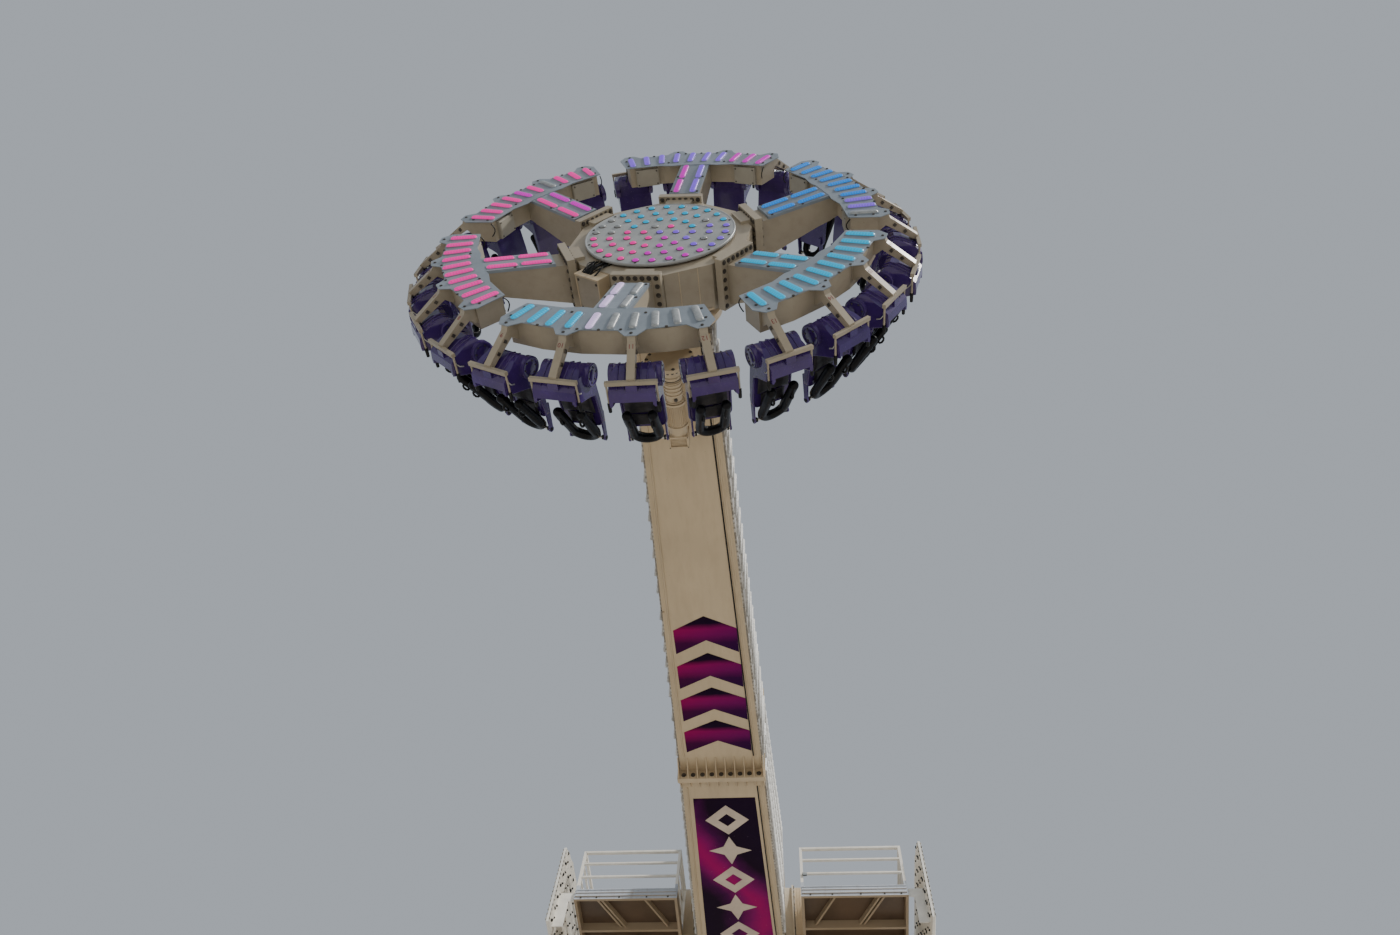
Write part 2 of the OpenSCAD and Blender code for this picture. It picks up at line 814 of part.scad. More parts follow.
base_frame();
tie_beams();
for (s = sides) {
    leg_at("front", s);
    leg_at("rear", s);
    on_side(s) tower_head();
    on_side(s) balcony();
}
swing_drives();
side_light_walls();
arm_axle();
arm_root_section();
arm_outer_section();
arm_light_boards();
spin_drive();
hub();
light_disc();
light_plates();
for (k = [1:arm_count]) {
    spoke_arm(k);
    seat_row(k);
}
for (n = [1:seat_count])
    restraint(n);
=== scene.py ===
"""Looks of the pendulum ride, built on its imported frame. Lengths are in metres."""

import json
import math
import random

import bpy
from mathutils import Matrix, Vector


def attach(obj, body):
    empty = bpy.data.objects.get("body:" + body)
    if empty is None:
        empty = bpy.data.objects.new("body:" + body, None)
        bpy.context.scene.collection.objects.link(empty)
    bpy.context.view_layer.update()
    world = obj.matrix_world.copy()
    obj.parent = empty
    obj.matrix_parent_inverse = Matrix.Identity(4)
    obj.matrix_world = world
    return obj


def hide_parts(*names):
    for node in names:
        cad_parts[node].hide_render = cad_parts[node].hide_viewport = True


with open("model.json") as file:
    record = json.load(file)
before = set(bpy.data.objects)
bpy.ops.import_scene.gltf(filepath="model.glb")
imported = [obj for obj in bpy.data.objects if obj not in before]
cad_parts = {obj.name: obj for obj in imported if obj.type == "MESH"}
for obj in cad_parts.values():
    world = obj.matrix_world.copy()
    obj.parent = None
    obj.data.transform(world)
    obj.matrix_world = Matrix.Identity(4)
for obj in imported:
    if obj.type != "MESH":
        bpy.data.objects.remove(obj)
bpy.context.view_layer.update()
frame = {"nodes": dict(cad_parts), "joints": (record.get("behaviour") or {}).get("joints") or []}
nodes = frame["nodes"]
joints = {j["name"]: j for j in frame["joints"]}

# Frames, as in the part's source

AXLE_H = joints["arm_swing"]["pos_m"][2]
ARM_LEN = 17.4
SWING = math.radians(76)
RING_TURN = math.radians(9.2)
ARM_COUNT = 6
ROW_COUNT = 4
SEAT_COUNT = ARM_COUNT*ROW_COUNT
ARMS = range(1, ARM_COUNT + 1)
ARM_STEP = math.radians(60)
SEAT_STEP = math.radians(15)
SIDES = (-1, 1)

ARM = Matrix.Translation((0, 0, AXLE_H)) @ Matrix.Rotation(-SWING, 4, "X")
RING = ARM @ Matrix.Translation((0, 0, -ARM_LEN)) @ Matrix.Rotation(RING_TURN, 4, "Z")
WORLD = Matrix.Identity(4)


def turned(angle, place=WORLD):
    return place @ Matrix.Rotation(angle, 4, "Z")


def ring_arm(k):
    """Frame of ring arm k: Y points outward, the plate's face is z = 0, Z points to the axle."""
    return turned((k - 1)*ARM_STEP, RING)


def seat_frame(n):
    k, i = divmod(n - 1, ROW_COUNT)
    return turned((i - (ROW_COUNT - 1)/2)*SEAT_STEP, ring_arm(k + 1))


def row_seats(k):
    return [seat_frame(n) for n in range(ROW_COUNT*(k - 1) + 1, ROW_COUNT*k + 1)]


# Meshes

class Shape:
    """Gathers the faces of one piece, each with a material number, a smooth flag and UVs."""

    def __init__(self):
        self.verts = []
        self.faces = []
        self.mats = []
        self.smooth = []
        self.uvs = []

    def add(self, place, verts, faces, mat=0, smooth=False, uvs=None):
        """Adds points, each with its UV, and the faces between them."""
        start = len(self.verts)
        self.verts += [place @ Vector(v) for v in verts]
        for face in faces:
            self.faces.append([start + i for i in face])
            self.mats.append(mat)
            self.smooth.append(smooth)
            self.uvs.append([uvs[i] if uvs else (0.0, 0.0) for i in face])

    def box(self, place, x, y, z, mat=0):
        verts = [(a, b, c) for a in x for b in y for c in z]
        faces = [(0, 1, 3, 2), (4, 6, 7, 5), (0, 4, 5, 1), (2, 3, 7, 6), (0, 2, 6, 4), (1, 5, 7, 3)]
        self.add(place, verts, faces, mat)

    def prism(self, place, outline, z0, z1, mat=0):
        n = len(outline)
        verts = [(x, y, z) for z in (z0, z1) for x, y in outline]
        self.add(place, verts, band(n), mat)
        self.add(place, verts, [tuple(range(n))[::-1], tuple(range(n, 2*n))], mat)

    def turned_profile(self, place, profile, sides, mat=0, smooth=True):
        """Revolves (radius, height) points about the place's Z."""
        verts = [(r*math.cos(a), r*math.sin(a), h) for a in turns(sides) for r, h in profile]
        m = len(profile)
        faces = []
        for i in range(sides):
            j = (i + 1) % sides
            for p in range(m - 1):
                faces.append((i*m + p, j*m + p, j*m + p + 1, i*m + p + 1))
        self.add(place, verts, faces, mat, smooth)

    def tube(self, place, points, radius, sides, mat=0):
        """Sweeps a round section along the points."""
        path = [Vector(p) for p in points]
        last = len(path) - 1
        normal = None
        verts = []
        for i, p in enumerate(path):
            along = (path[min(i + 1, last)] - path[max(i - 1, 0)]).normalized()
            if normal is None:
                guess = Vector((0, 0, 1)) if abs(along.z) < 0.9 else Vector((1, 0, 0))
                normal = along.cross(guess).normalized()
            normal = (normal - along*normal.dot(along)).normalized()
            third = along.cross(normal)
            for a in turns(sides):
                verts.append(p + normal*radius*math.cos(a) + third*radius*math.sin(a))
        faces = []
        for i in range(last):
            j = i + 1
            for s in range(sides):
                t = (s + 1) % sides
                faces.append((i*sides + s, i*sides + t, j*sides + t, j*sides + s))
        self.add(place, verts, faces, mat, True)
        ends = [tuple(range(sides))[::-1], tuple(range(last*sides, (last + 1)*sides))]
        self.add(place, verts, ends, mat)

    def bolt(self, place, at, axis, radius, mat=0, x_hint=(1, 0, 0)):
        """Hexagon head on a washer at a point, which stands up along the axis."""
        spot = frame_at(place, at, axis, x_hint)
        self.prism(spot, circle(1.5*radius, 10), -0.004, 0.005, mat)
        self.prism(spot, circle(radius, 6), 0.004, 0.8*radius, mat)

    def piece(self, name, body, materials, slot=None):
        mesh = bpy.data.meshes.new(name)
        mesh.from_pydata([tuple(v) for v in self.verts], [], self.faces)
        mesh.polygons.foreach_set("material_index", self.mats)
        mesh.polygons.foreach_set("use_smooth", self.smooth)
        layer = mesh.uv_layers.new(name="UVMap")
        layer.data.foreach_set("uv", [c for uv in self.uvs for point in uv for c in point])
        for m in materials:
            mesh.materials.append(m)
        mesh.validate()
        mesh.update()
        made = bpy.data.objects.new(name, mesh)
        bpy.context.scene.collection.objects.link(made)
        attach(made, body)
        return made


def turns(count):
    return [2*math.pi*i/count for i in range(count)]


def lerp(a, b, t):
    return a + (b - a)*t


def circle(radius, points, start=0.0):
    return [(radius*math.cos(a + start), radius*math.sin(a + start)) for a in turns(points)]


def band(count):
    """Quads between two closed rows of points."""
    return [(i, (i + 1) % count, count + (i + 1) % count, count + i) for i in range(count)]


def dome(radius, rise, angles=(0, 0.3, 0.6, 0.9, 1.2, math.pi/2), base=0.0):
    """Profile of a rounded cap."""
    return [(radius*math.cos(a), base + rise*math.sin(a)) for a in angles]


def grid(columns, rows):
    """Quads of a sheet whose points come row by row."""
    step = columns + 1
    corners = [j*step + i for j in range(rows) for i in range(columns)]
    return [(a, a + step, a + step + 1, a + 1) for a in corners]


def thicken(piece, thickness, offset):
    sheet = piece.modifiers.new("Solidify", "SOLIDIFY")
    sheet.thickness = thickness
    sheet.offset = offset


def frame_at(place, origin, z_axis, x_hint=(1, 0, 0)):
    """Place at origin, seen in `place`, whose Z points along z_axis."""
    z = Vector(z_axis).normalized()
    x = Vector(x_hint)
    if x.cross(z).length < 0.01:
        x = Vector((0, 1, 0))
    x = (x - z*x.dot(z)).normalized()
    y = z.cross(x)
    turn = Matrix((x, y, z)).transposed().to_4x4()
    return place @ Matrix.Translation(origin) @ turn


def soften(piece, width, segments=2):
    bevel = piece.modifiers.new("Bevel", "BEVEL")
    bevel.width = width
    bevel.segments = segments
    bevel.limit_method = "ANGLE"
    return piece


# Materials

class Look:
    """A Principled material, with short calls for the nodes behind its sockets."""

    def __init__(self, name, rough, metal=0.0, coat=0.0, coat_rough=0.1, specular=0.5):
        self.material = bpy.data.materials.new(name)
        self.material.use_nodes = True
        self.tree = self.material.node_tree
        self.shader = self.tree.nodes["Principled BSDF"]
        self.set("Roughness", rough)
        self.set("Metallic", metal)
        self.set("Coat Weight", coat)
        self.set("Coat Roughness", coat_rough)
        self.set("Specular IOR Level", specular)
        coords = self.tree.nodes.new("ShaderNodeTexCoord")
        self.point = coords.outputs["Object"]
        self.uv = coords.outputs["UV"]

    def set(self, socket, value):
        self.shader.inputs[socket].default_value = value

    def feed(self, output, node, socket):
        self.tree.links.new(output, node.inputs[socket])

    def give(self, node, socket, value):
        """Sets a socket to a constant, or feeds it from an output."""
        if isinstance(value, (int, float, tuple)):
            node.inputs[socket].default_value = value
        else:
            self.feed(value, node, socket)

    def node(self, kind, source=None, **values):
        """New node with its sockets set and its vector fed."""
        made = self.tree.nodes.new("ShaderNode" + kind)
        for socket, value in values.items():
            made.inputs[socket].default_value = value
        if source:
            self.feed(source, made, "Vector")
        return made

    def spot(self, stretch, turn=(0, 0, 0)):
        return self.node("Mapping", self.point, Scale=stretch, Rotation=turn).outputs["Vector"]

    def axes(self, vector):
        """X, Y and Z of a vector."""
        return self.node("SeparateXYZ", vector).outputs

    def cells(self, scale, randomness=1.0):
        return self.node("TexVoronoi", self.point, Scale=scale, Randomness=randomness).outputs["Distance"]

    def noise(self, scale, detail=4.0, rough=0.55, spot=None):
        made = self.node("TexNoise", spot or self.point, Scale=scale, Detail=detail, Roughness=rough)
        return made.outputs["Fac"]

    def ramp(self, factor, stops):
        node = self.tree.nodes.new("ShaderNodeValToRGB")
        while len(node.color_ramp.elements) < len(stops):
            node.color_ramp.elements.new(0.5)
        for element, (at, colour) in zip(node.color_ramp.elements, stops):
            element.position = at
            element.color = (*colour, 1)
        self.feed(factor, node, "Fac")
        return node.outputs["Color"]

    def mask(self, factor, low, high):
        """Black up to low, white from high on."""
        return self.ramp(factor, [(low, (0, 0, 0)), (high, (1, 1, 1))])

    def shades(self, factor, colour, *stops):
        """Ramp through grades of one colour."""
        return self.ramp(factor, [(at, grade(colour, k)) for at, k in stops])

    def mix(self, factor, a, b, how="MIX"):
        node = self.tree.nodes.new("ShaderNodeMix")
        node.data_type = "RGBA"
        node.blend_type = how
        for value, at in ((factor, 0), (a, 6), (b, 7)):
            self.give(node, at, (*value, 1) if isinstance(value, tuple) else value)
        return node.outputs[2]

    def sum(self, operation, a, b=0.0, clamp=False):
        node = self.tree.nodes.new("ShaderNodeMath")
        node.operation = operation
        node.use_clamp = clamp
        self.give(node, 0, a)
        self.give(node, 1, b)
        return node.outputs["Value"]

    def times(self, a, b):
        return self.sum("MULTIPLY", a, b)

    def span(self, value, low, high):
        """Stretches a 0 to 1 value to between low and high."""
        return self.sum("ADD", self.times(value, high - low), low)

    def bump(self, height, strength, distance):
        node = self.node("Bump", Strength=strength, Distance=distance)
        self.feed(height, node, "Height")
        self.feed(node.outputs["Normal"], self.shader, "Normal")

    def colour(self, output):
        self.feed(output, self.shader, "Base Color")

    def roughness(self, output):
        self.feed(output, self.shader, "Roughness")


def grade(colour, factor):
    return tuple(c*factor for c in colour)


def orange_peel(look, patches):
    """Fine texture of sprayed paint over its soft patches."""
    look.bump(look.sum("ADD", look.noise(260, 2), look.times(patches, 3.0)), 0.12, 0.003)


def film_skin(look):
    """Satin film that doesn't lie quite flat."""
    look.roughness(look.span(look.noise(30, 3), 0.42, 0.62))
    look.bump(look.noise(3.0, 2), 0.25, 0.006)


def weathered_paint(name, colour, dirt, rough=0.42, streak=(5, 5, 0.5), turn=(0, 0, 0)):
    """Painted plate with soft patches, run-down dirt, rubbed spots and a fine orange peel."""
    look = Look(name, rough, coat=0.15, coat_rough=0.3)
    patches = look.noise(0.8, 5)
    base = look.shades(patches, colour, (0.3, 0.88), (0.7, 1.05))
    run = look.noise(1.6, 6, 0.6, look.spot(streak, turn))
    run_mask = look.mask(run, 0.45, 0.9)
    soiled = look.mix(look.times(run_mask, 0.3), base, dirt)
    specks = look.noise(34, 3, 0.7)
    speck_mask = look.mask(specks, 0.69, 0.74)
    look.colour(look.mix(look.times(speck_mask, 0.5), soiled, grade(dirt, 0.55)))
    look.roughness(look.span(patches, rough - 0.1, rough + 0.16))
    orange_peel(look, patches)
    return look.material


def coated_sheet(name, colour, rough=0.38):
    """Thin coated sheet that isn't quite flat, with brushed grain and faint stains."""
    look = Look(name, rough, metal=0.15)
    stains = look.noise(2.2, 6, 0.6)
    base = look.shades(stains, colour, (0.35, 0.82), (0.62, 1), (0.8, 1.08))
    spots = look.mask(look.noise(60, 2, 0.6), 0.7, 0.76)
    look.colour(look.mix(look.times(spots, 0.35), base, grade(colour, 0.35)))
    look.roughness(look.span(look.noise(14, 4, 0.7, look.spot((1, 7, 1))), rough - 0.12, rough + 0.2))
    look.bump(look.noise(1.1, 2), 0.5, 0.02)
    return look.material


def moulded_shell(name, colour, rough=0.2):
    """Glossy moulded shell with faint flow marks, scuffs and a clear coat."""
    look = Look(name, rough, coat=0.5, coat_rough=0.06, specular=0.3)
    cloud = look.noise(3.5, 5, 0.6)
    base = look.shades(cloud, colour, (0.3, 0.7), (0.6, 1), (0.85, 1.5))
    scuff = look.mask(look.noise(24, 6, 0.75, look.spot((1, 1, 5))), 0.62, 0.7)
    look.colour(look.mix(look.times(scuff, 0.25), base, (0.3, 0.26, 0.38)))
    look.roughness(look.span(scuff, rough, rough + 0.3))
    look.bump(look.noise(42, 3), 0.1, 0.002)
    return look.material


def moulded_foam(name, colour=(0.004, 0.0045, 0.0065)):
    """Black skin of moulded foam: fine leather grain, worn shinier on the crests."""
    look = Look(name, 0.35, coat=0.16, coat_rough=0.1, specular=0.08)
    grain = look.cells(240)
    wear = look.noise(9, 5, 0.6)
    look.colour(look.shades(wear, colour, (0.35, 0.6), (0.62, 1), (0.8, 1.8)))
    look.roughness(look.span(wear, 0.5, 0.26))
    look.bump(look.sum("ADD", grain, look.times(wear, 2.0)), 0.35, 0.0015)
    return look.material


def worn_metal(name, colour, rough=0.35, metal=0.9):
    """Metal with hairlines and darker oxide in patches."""
    look = Look(name, rough, metal)
    oxide = look.noise(12, 6, 0.65)
    look.colour(look.shades(oxide, colour, (0.3, 0.5), (0.55, 1), (0.8, 1.15)))
    look.roughness(look.span(oxide, rough - 0.1, rough + 0.25))
    look.bump(look.noise(90, 3, 0.7, look.spot((1, 1, 9))), 0.2, 0.001)
    return look.material


def lamp_lens(name, colour, glow):
    """Bar lens over a row of small lamps, which show as brighter dots. UV runs across and along."""
    look = Look(name, 0.4, coat=0.08, coat_rough=0.2, specular=0.12)
    uv = look.axes(look.uv)
    across = look.sum("SUBTRACT", look.sum("FRACT", uv["X"]), 0.5)
    along = look.sum("SUBTRACT", look.sum("FRACT", uv["Y"]), 0.5)
    off = look.sum("ADD", look.sum("POWER", across, 2.0), look.sum("POWER", along, 2.0))
    dot = look.ramp(look.sum("SQRT", off), [(0.1, (1, 1, 1)), (0.42, (0, 0, 0))])
    pale = tuple(0.95*c + 0.05 for c in colour)
    dusty = look.mix(look.noise(26, 3), grade(colour, 0.35), grade(colour, 0.6))
    look.colour(dusty)
    shine = look.mix(dot, grade(colour, 0.8), pale)
    look.feed(shine, look.shader, "Emission Color")
    look.set("Emission Strength", glow)
    look.bump(dot, 0.4, 0.004)
    return look.material


def dusty_lens(name, colour):
    """Unlit frosted lens with dust in its grooves."""
    look = Look(name, 0.4, coat=0.3, coat_rough=0.3)
    dust = look.noise(18, 4, 0.6)
    look.colour(look.shades(dust, colour, (0.35, 0.72), (0.6, 1), (0.8, 1.15)))
    look.roughness(look.span(dust, 0.3, 0.6))
    look.bump(look.noise(120, 2), 0.2, 0.002)
    return look.material


def printed_film(name, stops, sway):
    """Printed night-sky film: a glowing band that runs along V and drifts across U by `sway`."""
    look = Look(name, 0.5, specular=0.06)
    uv = look.axes(look.uv)
    along = uv["Y"]
    wave = look.sum("SINE", look.times(look.sum("SUBTRACT", along, 2.3), 1.1))
    middle = look.span(wave, *sway)
    off = look.sum("ABSOLUTE", look.sum("SUBTRACT", uv["X"], middle))
    off = look.sum("ADD", off, look.sum("MAXIMUM", look.span(along, 0.55, 0.05), 0.0))
    cloud = look.span(look.noise(1.3, 5, 0.6), -0.22, 0.22)
    sky = look.ramp(look.sum("ADD", off, cloud, clamp=True), stops)
    star = look.ramp(look.cells(9), [(0.02, (1, 1, 1)), (0.05, (0, 0, 0))])
    look.colour(look.mix(look.times(star, 0.35), sky, (0.8, 0.6, 0.8)))
    film_skin(look)
    return look.material


def chevron_print(name):
    """Chevron film: black at the apex, a straight glowing band below it, darker to one side."""
    look = Look(name, 0.5, specular=0.06)
    uv = look.axes(look.uv)
    cloud = look.span(look.noise(1.6, 4, 0.6), -0.08, 0.08)
    glow = look.ramp(look.sum("ADD", uv["Y"], cloud, clamp=True),
                     [(0.0, (0.008, 0.001, 0.012)), (0.2, (0.012, 0.001, 0.02)), (0.34, (0.24, 0.0, 0.10)),
                      (0.50, (0.19, 0.0, 0.10)), (0.72, (0.05, 0.0, 0.05)), (1.0, (0.03, 0.001, 0.045))])
    tints = [(0.0, (1.2, 1.0, 0.9)), (0.4, (1.0, 1.0, 1.0)), (1.0, (0.7, 1.0, 1.0))]
    side = look.ramp(uv["X"], tints)
    look.colour(look.mix(1.0, glow, side, "MULTIPLY"))
    film_skin(look)
    return look.material


RAIL_CREAM = (0.82, 0.79, 0.72)


def underside_shaded_paint(name, colour, stain_and_shade, z_low, z_high, y_in):
    """Pale paint, cream on the frame below a floor, whose downward faces at the floor are brown. The frame's
    cream is darker as painted shade, and the brown is the underside's own colour darkened as painted shade.
    """
    look = Look(name, 0.45, coat=0.15, coat_rough=0.3)
    patches = look.noise(0.8, 5)
    base = look.shades(patches, colour, (0.3, 0.9), (0.7, 1.05))
    run = look.mask(look.noise(1.6, 6, 0.6, look.spot((5, 5, 0.7))), 0.52, 0.74)
    base = look.mix(look.times(run, 0.35), base, grade(stain_and_shade, 2.6))
    face = look.tree.nodes.new("ShaderNodeNewGeometry")
    place = look.axes(look.point)
    down = look.sum("LESS_THAN", look.axes(face.outputs["Normal"])["Z"], -0.5)
    low = look.sum("LESS_THAN", place["Z"], z_high)
    inside = look.times(look.sum("GREATER_THAN", place["Z"], z_low), low)
    inner = look.sum("LESS_THAN", look.sum("ABSOLUTE", place["Y"]), y_in)
    base = look.mix(look.sum("GREATER_THAN", place["Z"], z_high + 0.16), base, RAIL_CREAM)
    # Painted shade: dark brown for the downward faces at the floor, over the underside's own brown
    brown = look.shades(look.noise(1.1, 6, 0.65), stain_and_shade, (0.3, 0.8), (0.7, 1.5))
    # Painted shade: a darker cream on the frame's downward and inner faces below the floor
    frame_work = look.times(low, look.sum("MAXIMUM", down, inner))
    base = look.mix(frame_work, base, (0.36, 0.28, 0.19))
    look.colour(look.mix(look.times(down, inside), base, brown))
    look.roughness(look.span(patches, 0.38, 0.6))
    orange_peel(look, patches)
    return look.material


def lamp_net(name, colour, shade, pitch):
    """White board under a net of small clear lamps: pale domes with darker gaps between them, the gaps'
    colour a painted shade.
    """
    look = Look(name, 0.35, specular=0.6)
    cells = look.cells(1/pitch, 0.25)
    gap = look.mask(cells, 0.28, 0.52)
    stains = look.shades(look.noise(1.8, 5), colour, (0.35, 0.85), (0.7, 1))
    # Painted shade in the gaps between the domes
    look.colour(look.mix(gap, stains, shade))
    look.bump(look.sum("SUBTRACT", 1.0, cells), 0.9, 0.02)
    return look.material


CREAM = (0.56, 0.45, 0.30)
CREAM_DIRT = (0.25, 0.17, 0.10)

cream_paint = weathered_paint("cream_paint", CREAM, CREAM_DIRT)
arm_paint = weathered_paint("arm_paint", CREAM, CREAM_DIRT, streak=(5, 0.5, 5), turn=(-SWING, 0, 0))
ring_paint = weathered_paint("ring_paint", (0.35, 0.305, 0.23), (0.13, 0.10, 0.065))
base_paint = weathered_paint("base_paint", (0.40, 0.37, 0.31), (0.16, 0.13, 0.10), 0.55)
rail_paint = weathered_paint("rail_paint", RAIL_CREAM, (0.36, 0.30, 0.22), 0.45)
drive_paint = weathered_paint("drive_paint", (0.16, 0.17, 0.18), (0.07, 0.06, 0.05), 0.5)
number_paint = weathered_paint("number_paint", (0.20, 0.012, 0.012), (0.10, 0.02, 0.02), 0.5)
drum_paint = weathered_paint("drum_paint", (0.50, 0.45, 0.36), CREAM_DIRT, 0.5)
white_sheet = coated_sheet("white_sheet", (0.88, 0.86, 0.80))
lamp_board = lamp_net("lamp_board", (0.60, 0.58, 0.54), (0.24, 0.22, 0.19), 0.09)
# Light plates: the grey is darkened and tinted blue, a painted shade and painted sky reflection
plate_sheet = coated_sheet("plate_sheet", (0.25, 0.295, 0.345))
disc_sheet = coated_sheet("disc_sheet", (0.36, 0.38, 0.39))
cover_sheet = coated_sheet("cover_sheet", (0.34, 0.32, 0.27))
purple_shell = moulded_shell("purple_shell", (0.048, 0.022, 0.14))
black_pad = moulded_foam("black_pad")
grey_pad = moulded_foam("grey_pad", (0.035, 0.034, 0.04))
bolt_steel = worn_metal("bolt_steel", (0.10, 0.09, 0.08), 0.5, 0.6)
pale_steel = worn_metal("pale_steel", (0.72, 0.71, 0.67), 0.32)
black_rubber = moulded_foam("black_rubber", (0.016, 0.016, 0.017))
pale_rope = dusty_lens("pale_rope", (0.80, 0.80, 0.78))
pale_print = coated_sheet("pale_print", (0.62, 0.52, 0.44), 0.5)

LAMP_COLOURS = {
    "pink": (1.0, 0.03, 0.40),
    "magenta": (0.66, 0.02, 0.58),
    "violet": (0.24, 0.12, 0.86),
    "blue": (0.01, 0.24, 0.82),
    "cyan": (0.0, 0.43, 0.74),
    "white": (0.74, 0.58, 0.95),
}
GLOW = 0.72
lenses = {name: lamp_lens("lens_" + name, colour, GLOW) for name, colour in LAMP_COLOURS.items()}
lenses["unlit"] = dusty_lens("lens_unlit", (0.33, 0.36, 0.38))
lens_names = list(lenses)
lens_list = [lenses[n] for n in lens_names]

BANNER_SKY = [(0.0, (0.33, 0.0, 0.12)), (0.16, (0.22, 0.0, 0.12)), (0.38, (0.06, 0.0, 0.06)),
              (0.62, (0.010, 0.001, 0.014)), (1.0, (0.010, 0.001, 0.018))]
banner_film = printed_film("banner_film", BANNER_SKY, (0.4, 0.9))
chevron_film = chevron_print("chevron_film")

UNDER_FLOOR_Z = (AXLE_H - 1.16, AXLE_H - 1.12)
UNDER_FLOOR_Y = 2.33
# The second colour is the floor underside's dark brown, partly painted shade; it also tints the run-down
# streaks
balcony_paint = underside_shaded_paint("balcony_paint", (0.50, 0.54, 0.60), (0.085, 0.055, 0.034),
                              *UNDER_FLOOR_Z, UNDER_FLOOR_Y)

NODE_LOOKS = {
    "base_frame": base_paint,
    "leg": cream_paint,
    "tie_beams": cream_paint,
    "tower_head": cream_paint,
    "balcony": balcony_paint,
    "swing_drives": drive_paint,
    "side_light_walls": white_sheet,
    "arm_axle": drum_paint,
    "arm_root_section": arm_paint,
    "arm_outer_section": arm_paint,
    "arm_light_boards": lamp_board,
    "spin_drive": arm_paint,
    "hub": ring_paint,
    "light_disc": disc_sheet,
    "light_plates": plate_sheet,
    "spoke_arm": ring_paint,
    "seat_row": purple_shell,
    "restraint": black_pad,
}


def dress_nodes():
    for name, node in nodes.items():
        look = next(NODE_LOOKS[start] for start in NODE_LOOKS if name.startswith(start))
        node.data.materials.clear()
        node.data.materials.append(look)


# Camera, light and floor

FOCAL_PX = 947.7
PHOTO_W = 1400
SENSOR_W = 36
CAMERA_AT = (1.414, -18.557, 1.666)
CAMERA_FORWARD = (-0.0863, 0.3760, 0.9226)
CAMERA_UP = (0.0526, -0.9230, 0.3811)


def add_camera():
    data = bpy.data.cameras.new("camera")
    data.sensor_width = SENSOR_W
    data.sensor_fit = "HORIZONTAL"
    data.lens = FOCAL_PX*SENSOR_W/PHOTO_W
    data.clip_end = 500
    camera = bpy.data.objects.new("camera", data)
    forward = Vector(CAMERA_FORWARD).normalized()
    up = Vector(CAMERA_UP)
    right = forward.cross(up).normalized()
    up = right.cross(forward)
    camera.matrix_world = Matrix.Translation(CAMERA_AT) @ Matrix((right, up, -forward)).transposed().to_4x4()
    bpy.context.scene.collection.objects.link(camera)
    bpy.context.scene.camera = camera


# Name, strength, softness in degrees, direction and tint of each light
SUNS = (
    ("key", 3.9, 4, (-0.62, 0.42, -0.66), (1.0, 0.96, 0.9)),
    ("fill", 0.35, 40, (0.5, 0.5, 0.55), (1.0, 0.97, 0.93)),
)


def add_light():
    world = bpy.data.worlds.new("studio")
    world.use_nodes = True
    background = world.node_tree.nodes["Background"]
    background.inputs["Color"].default_value = (0.80, 0.87, 0.96, 1)
    background.inputs["Strength"].default_value = 0.5
    bpy.context.scene.world = world
    for name, strength, angle, towards, tint in SUNS:
        data = bpy.data.lights.new(name, "SUN")
        data.energy = strength
        data.angle = math.radians(angle)
        data.color = tint
        light = bpy.data.objects.new(name, data)
        light.matrix_world = Vector(towards).to_track_quat("-Z", "Y").to_matrix().to_4x4()
        bpy.context.scene.collection.objects.link(light)


def add_floor():
    look = Look("floor", 0.85)
    look.colour(look.ramp(look.noise(0.3, 3), [(0.3, (0.56, 0.53, 0.48)), (0.7, (0.61, 0.58, 0.53))]))
    half = 120
    verts = [(-half, -half, 0), (half, -half, 0), (half, half, 0), (-half, half, 0)]
    mesh = bpy.data.meshes.new("floor")
    mesh.from_pydata(verts, [], [(0, 1, 2, 3)])
    mesh.materials.append(look.material)
    floor = bpy.data.objects.new("floor", mesh)
    floor.location.z = -0.002
    bpy.context.scene.collection.objects.link(floor)


# Light bars and lamps

BAR_COUNT = 10
BAR_STEP = math.radians(5)
BAR_R = (2.425, 2.785)
BAR_HALF = 0.043
BAR_H = 0.03
BAR_SEAT = 0.006
LED_PITCH = 0.036
SCALLOP = 0.14
AFTER_LENSES = len(lens_names)

ARC_COLOURS = [
    ["unlit"]*5 + ["white"] + ["cyan"]*4,
    ["pink"]*10,
    ["pink", "pink", "pink", "pink", "magenta", "pink", "unlit", "pink", "pink", "pink"],
    ["violet"]*7 + ["magenta"]*3,
    ["blue"]*7 + ["violet", "violet", "unlit"],
    ["cyan"]*10,
]
SPOKE_COLOURS = [("unlit", "white"), ("pink", "pink"), ("pink", "magenta"), ("magenta", "violet"),
                 ("blue", "blue"), ("cyan", "cyan")]


def light_bar(shape, place, length, colour):
    """Domed bar along the place's Y, which stands out along -Z, with scallops over its lamps."""
    steps = max(8, round(length/(LED_PITCH/3)))
    across = 8
    verts = []
    uvs = []
    for j in range(steps + 1):
        y = length*j/steps
        near_end = min(y, length - y)
        round_off = math.sqrt(max(0.0, 1 - max(0.0, 1 - near_end/BAR_HALF)**2))
        scallop = 1 - SCALLOP*(0.5 + 0.5*math.cos(2*math.pi*y/LED_PITCH))
        for i in range(across + 1):
            a = math.pi*i/across
            verts.append((-BAR_HALF*max(0.3, round_off)*math.cos(a), y,
                          -BAR_H*math.sin(a)**0.6*max(0.15, round_off)*scallop))
            uvs.append((2*i/across, y/LED_PITCH))
    shape.add(place, verts, grid(across, steps), lens_names.index(colour), True, uvs)
    half = BAR_HALF + BAR_SEAT
    shape.box(place, (-half, half), (-BAR_SEAT, length + BAR_SEAT), (-BAR_SEAT, 0.001), AFTER_LENSES)


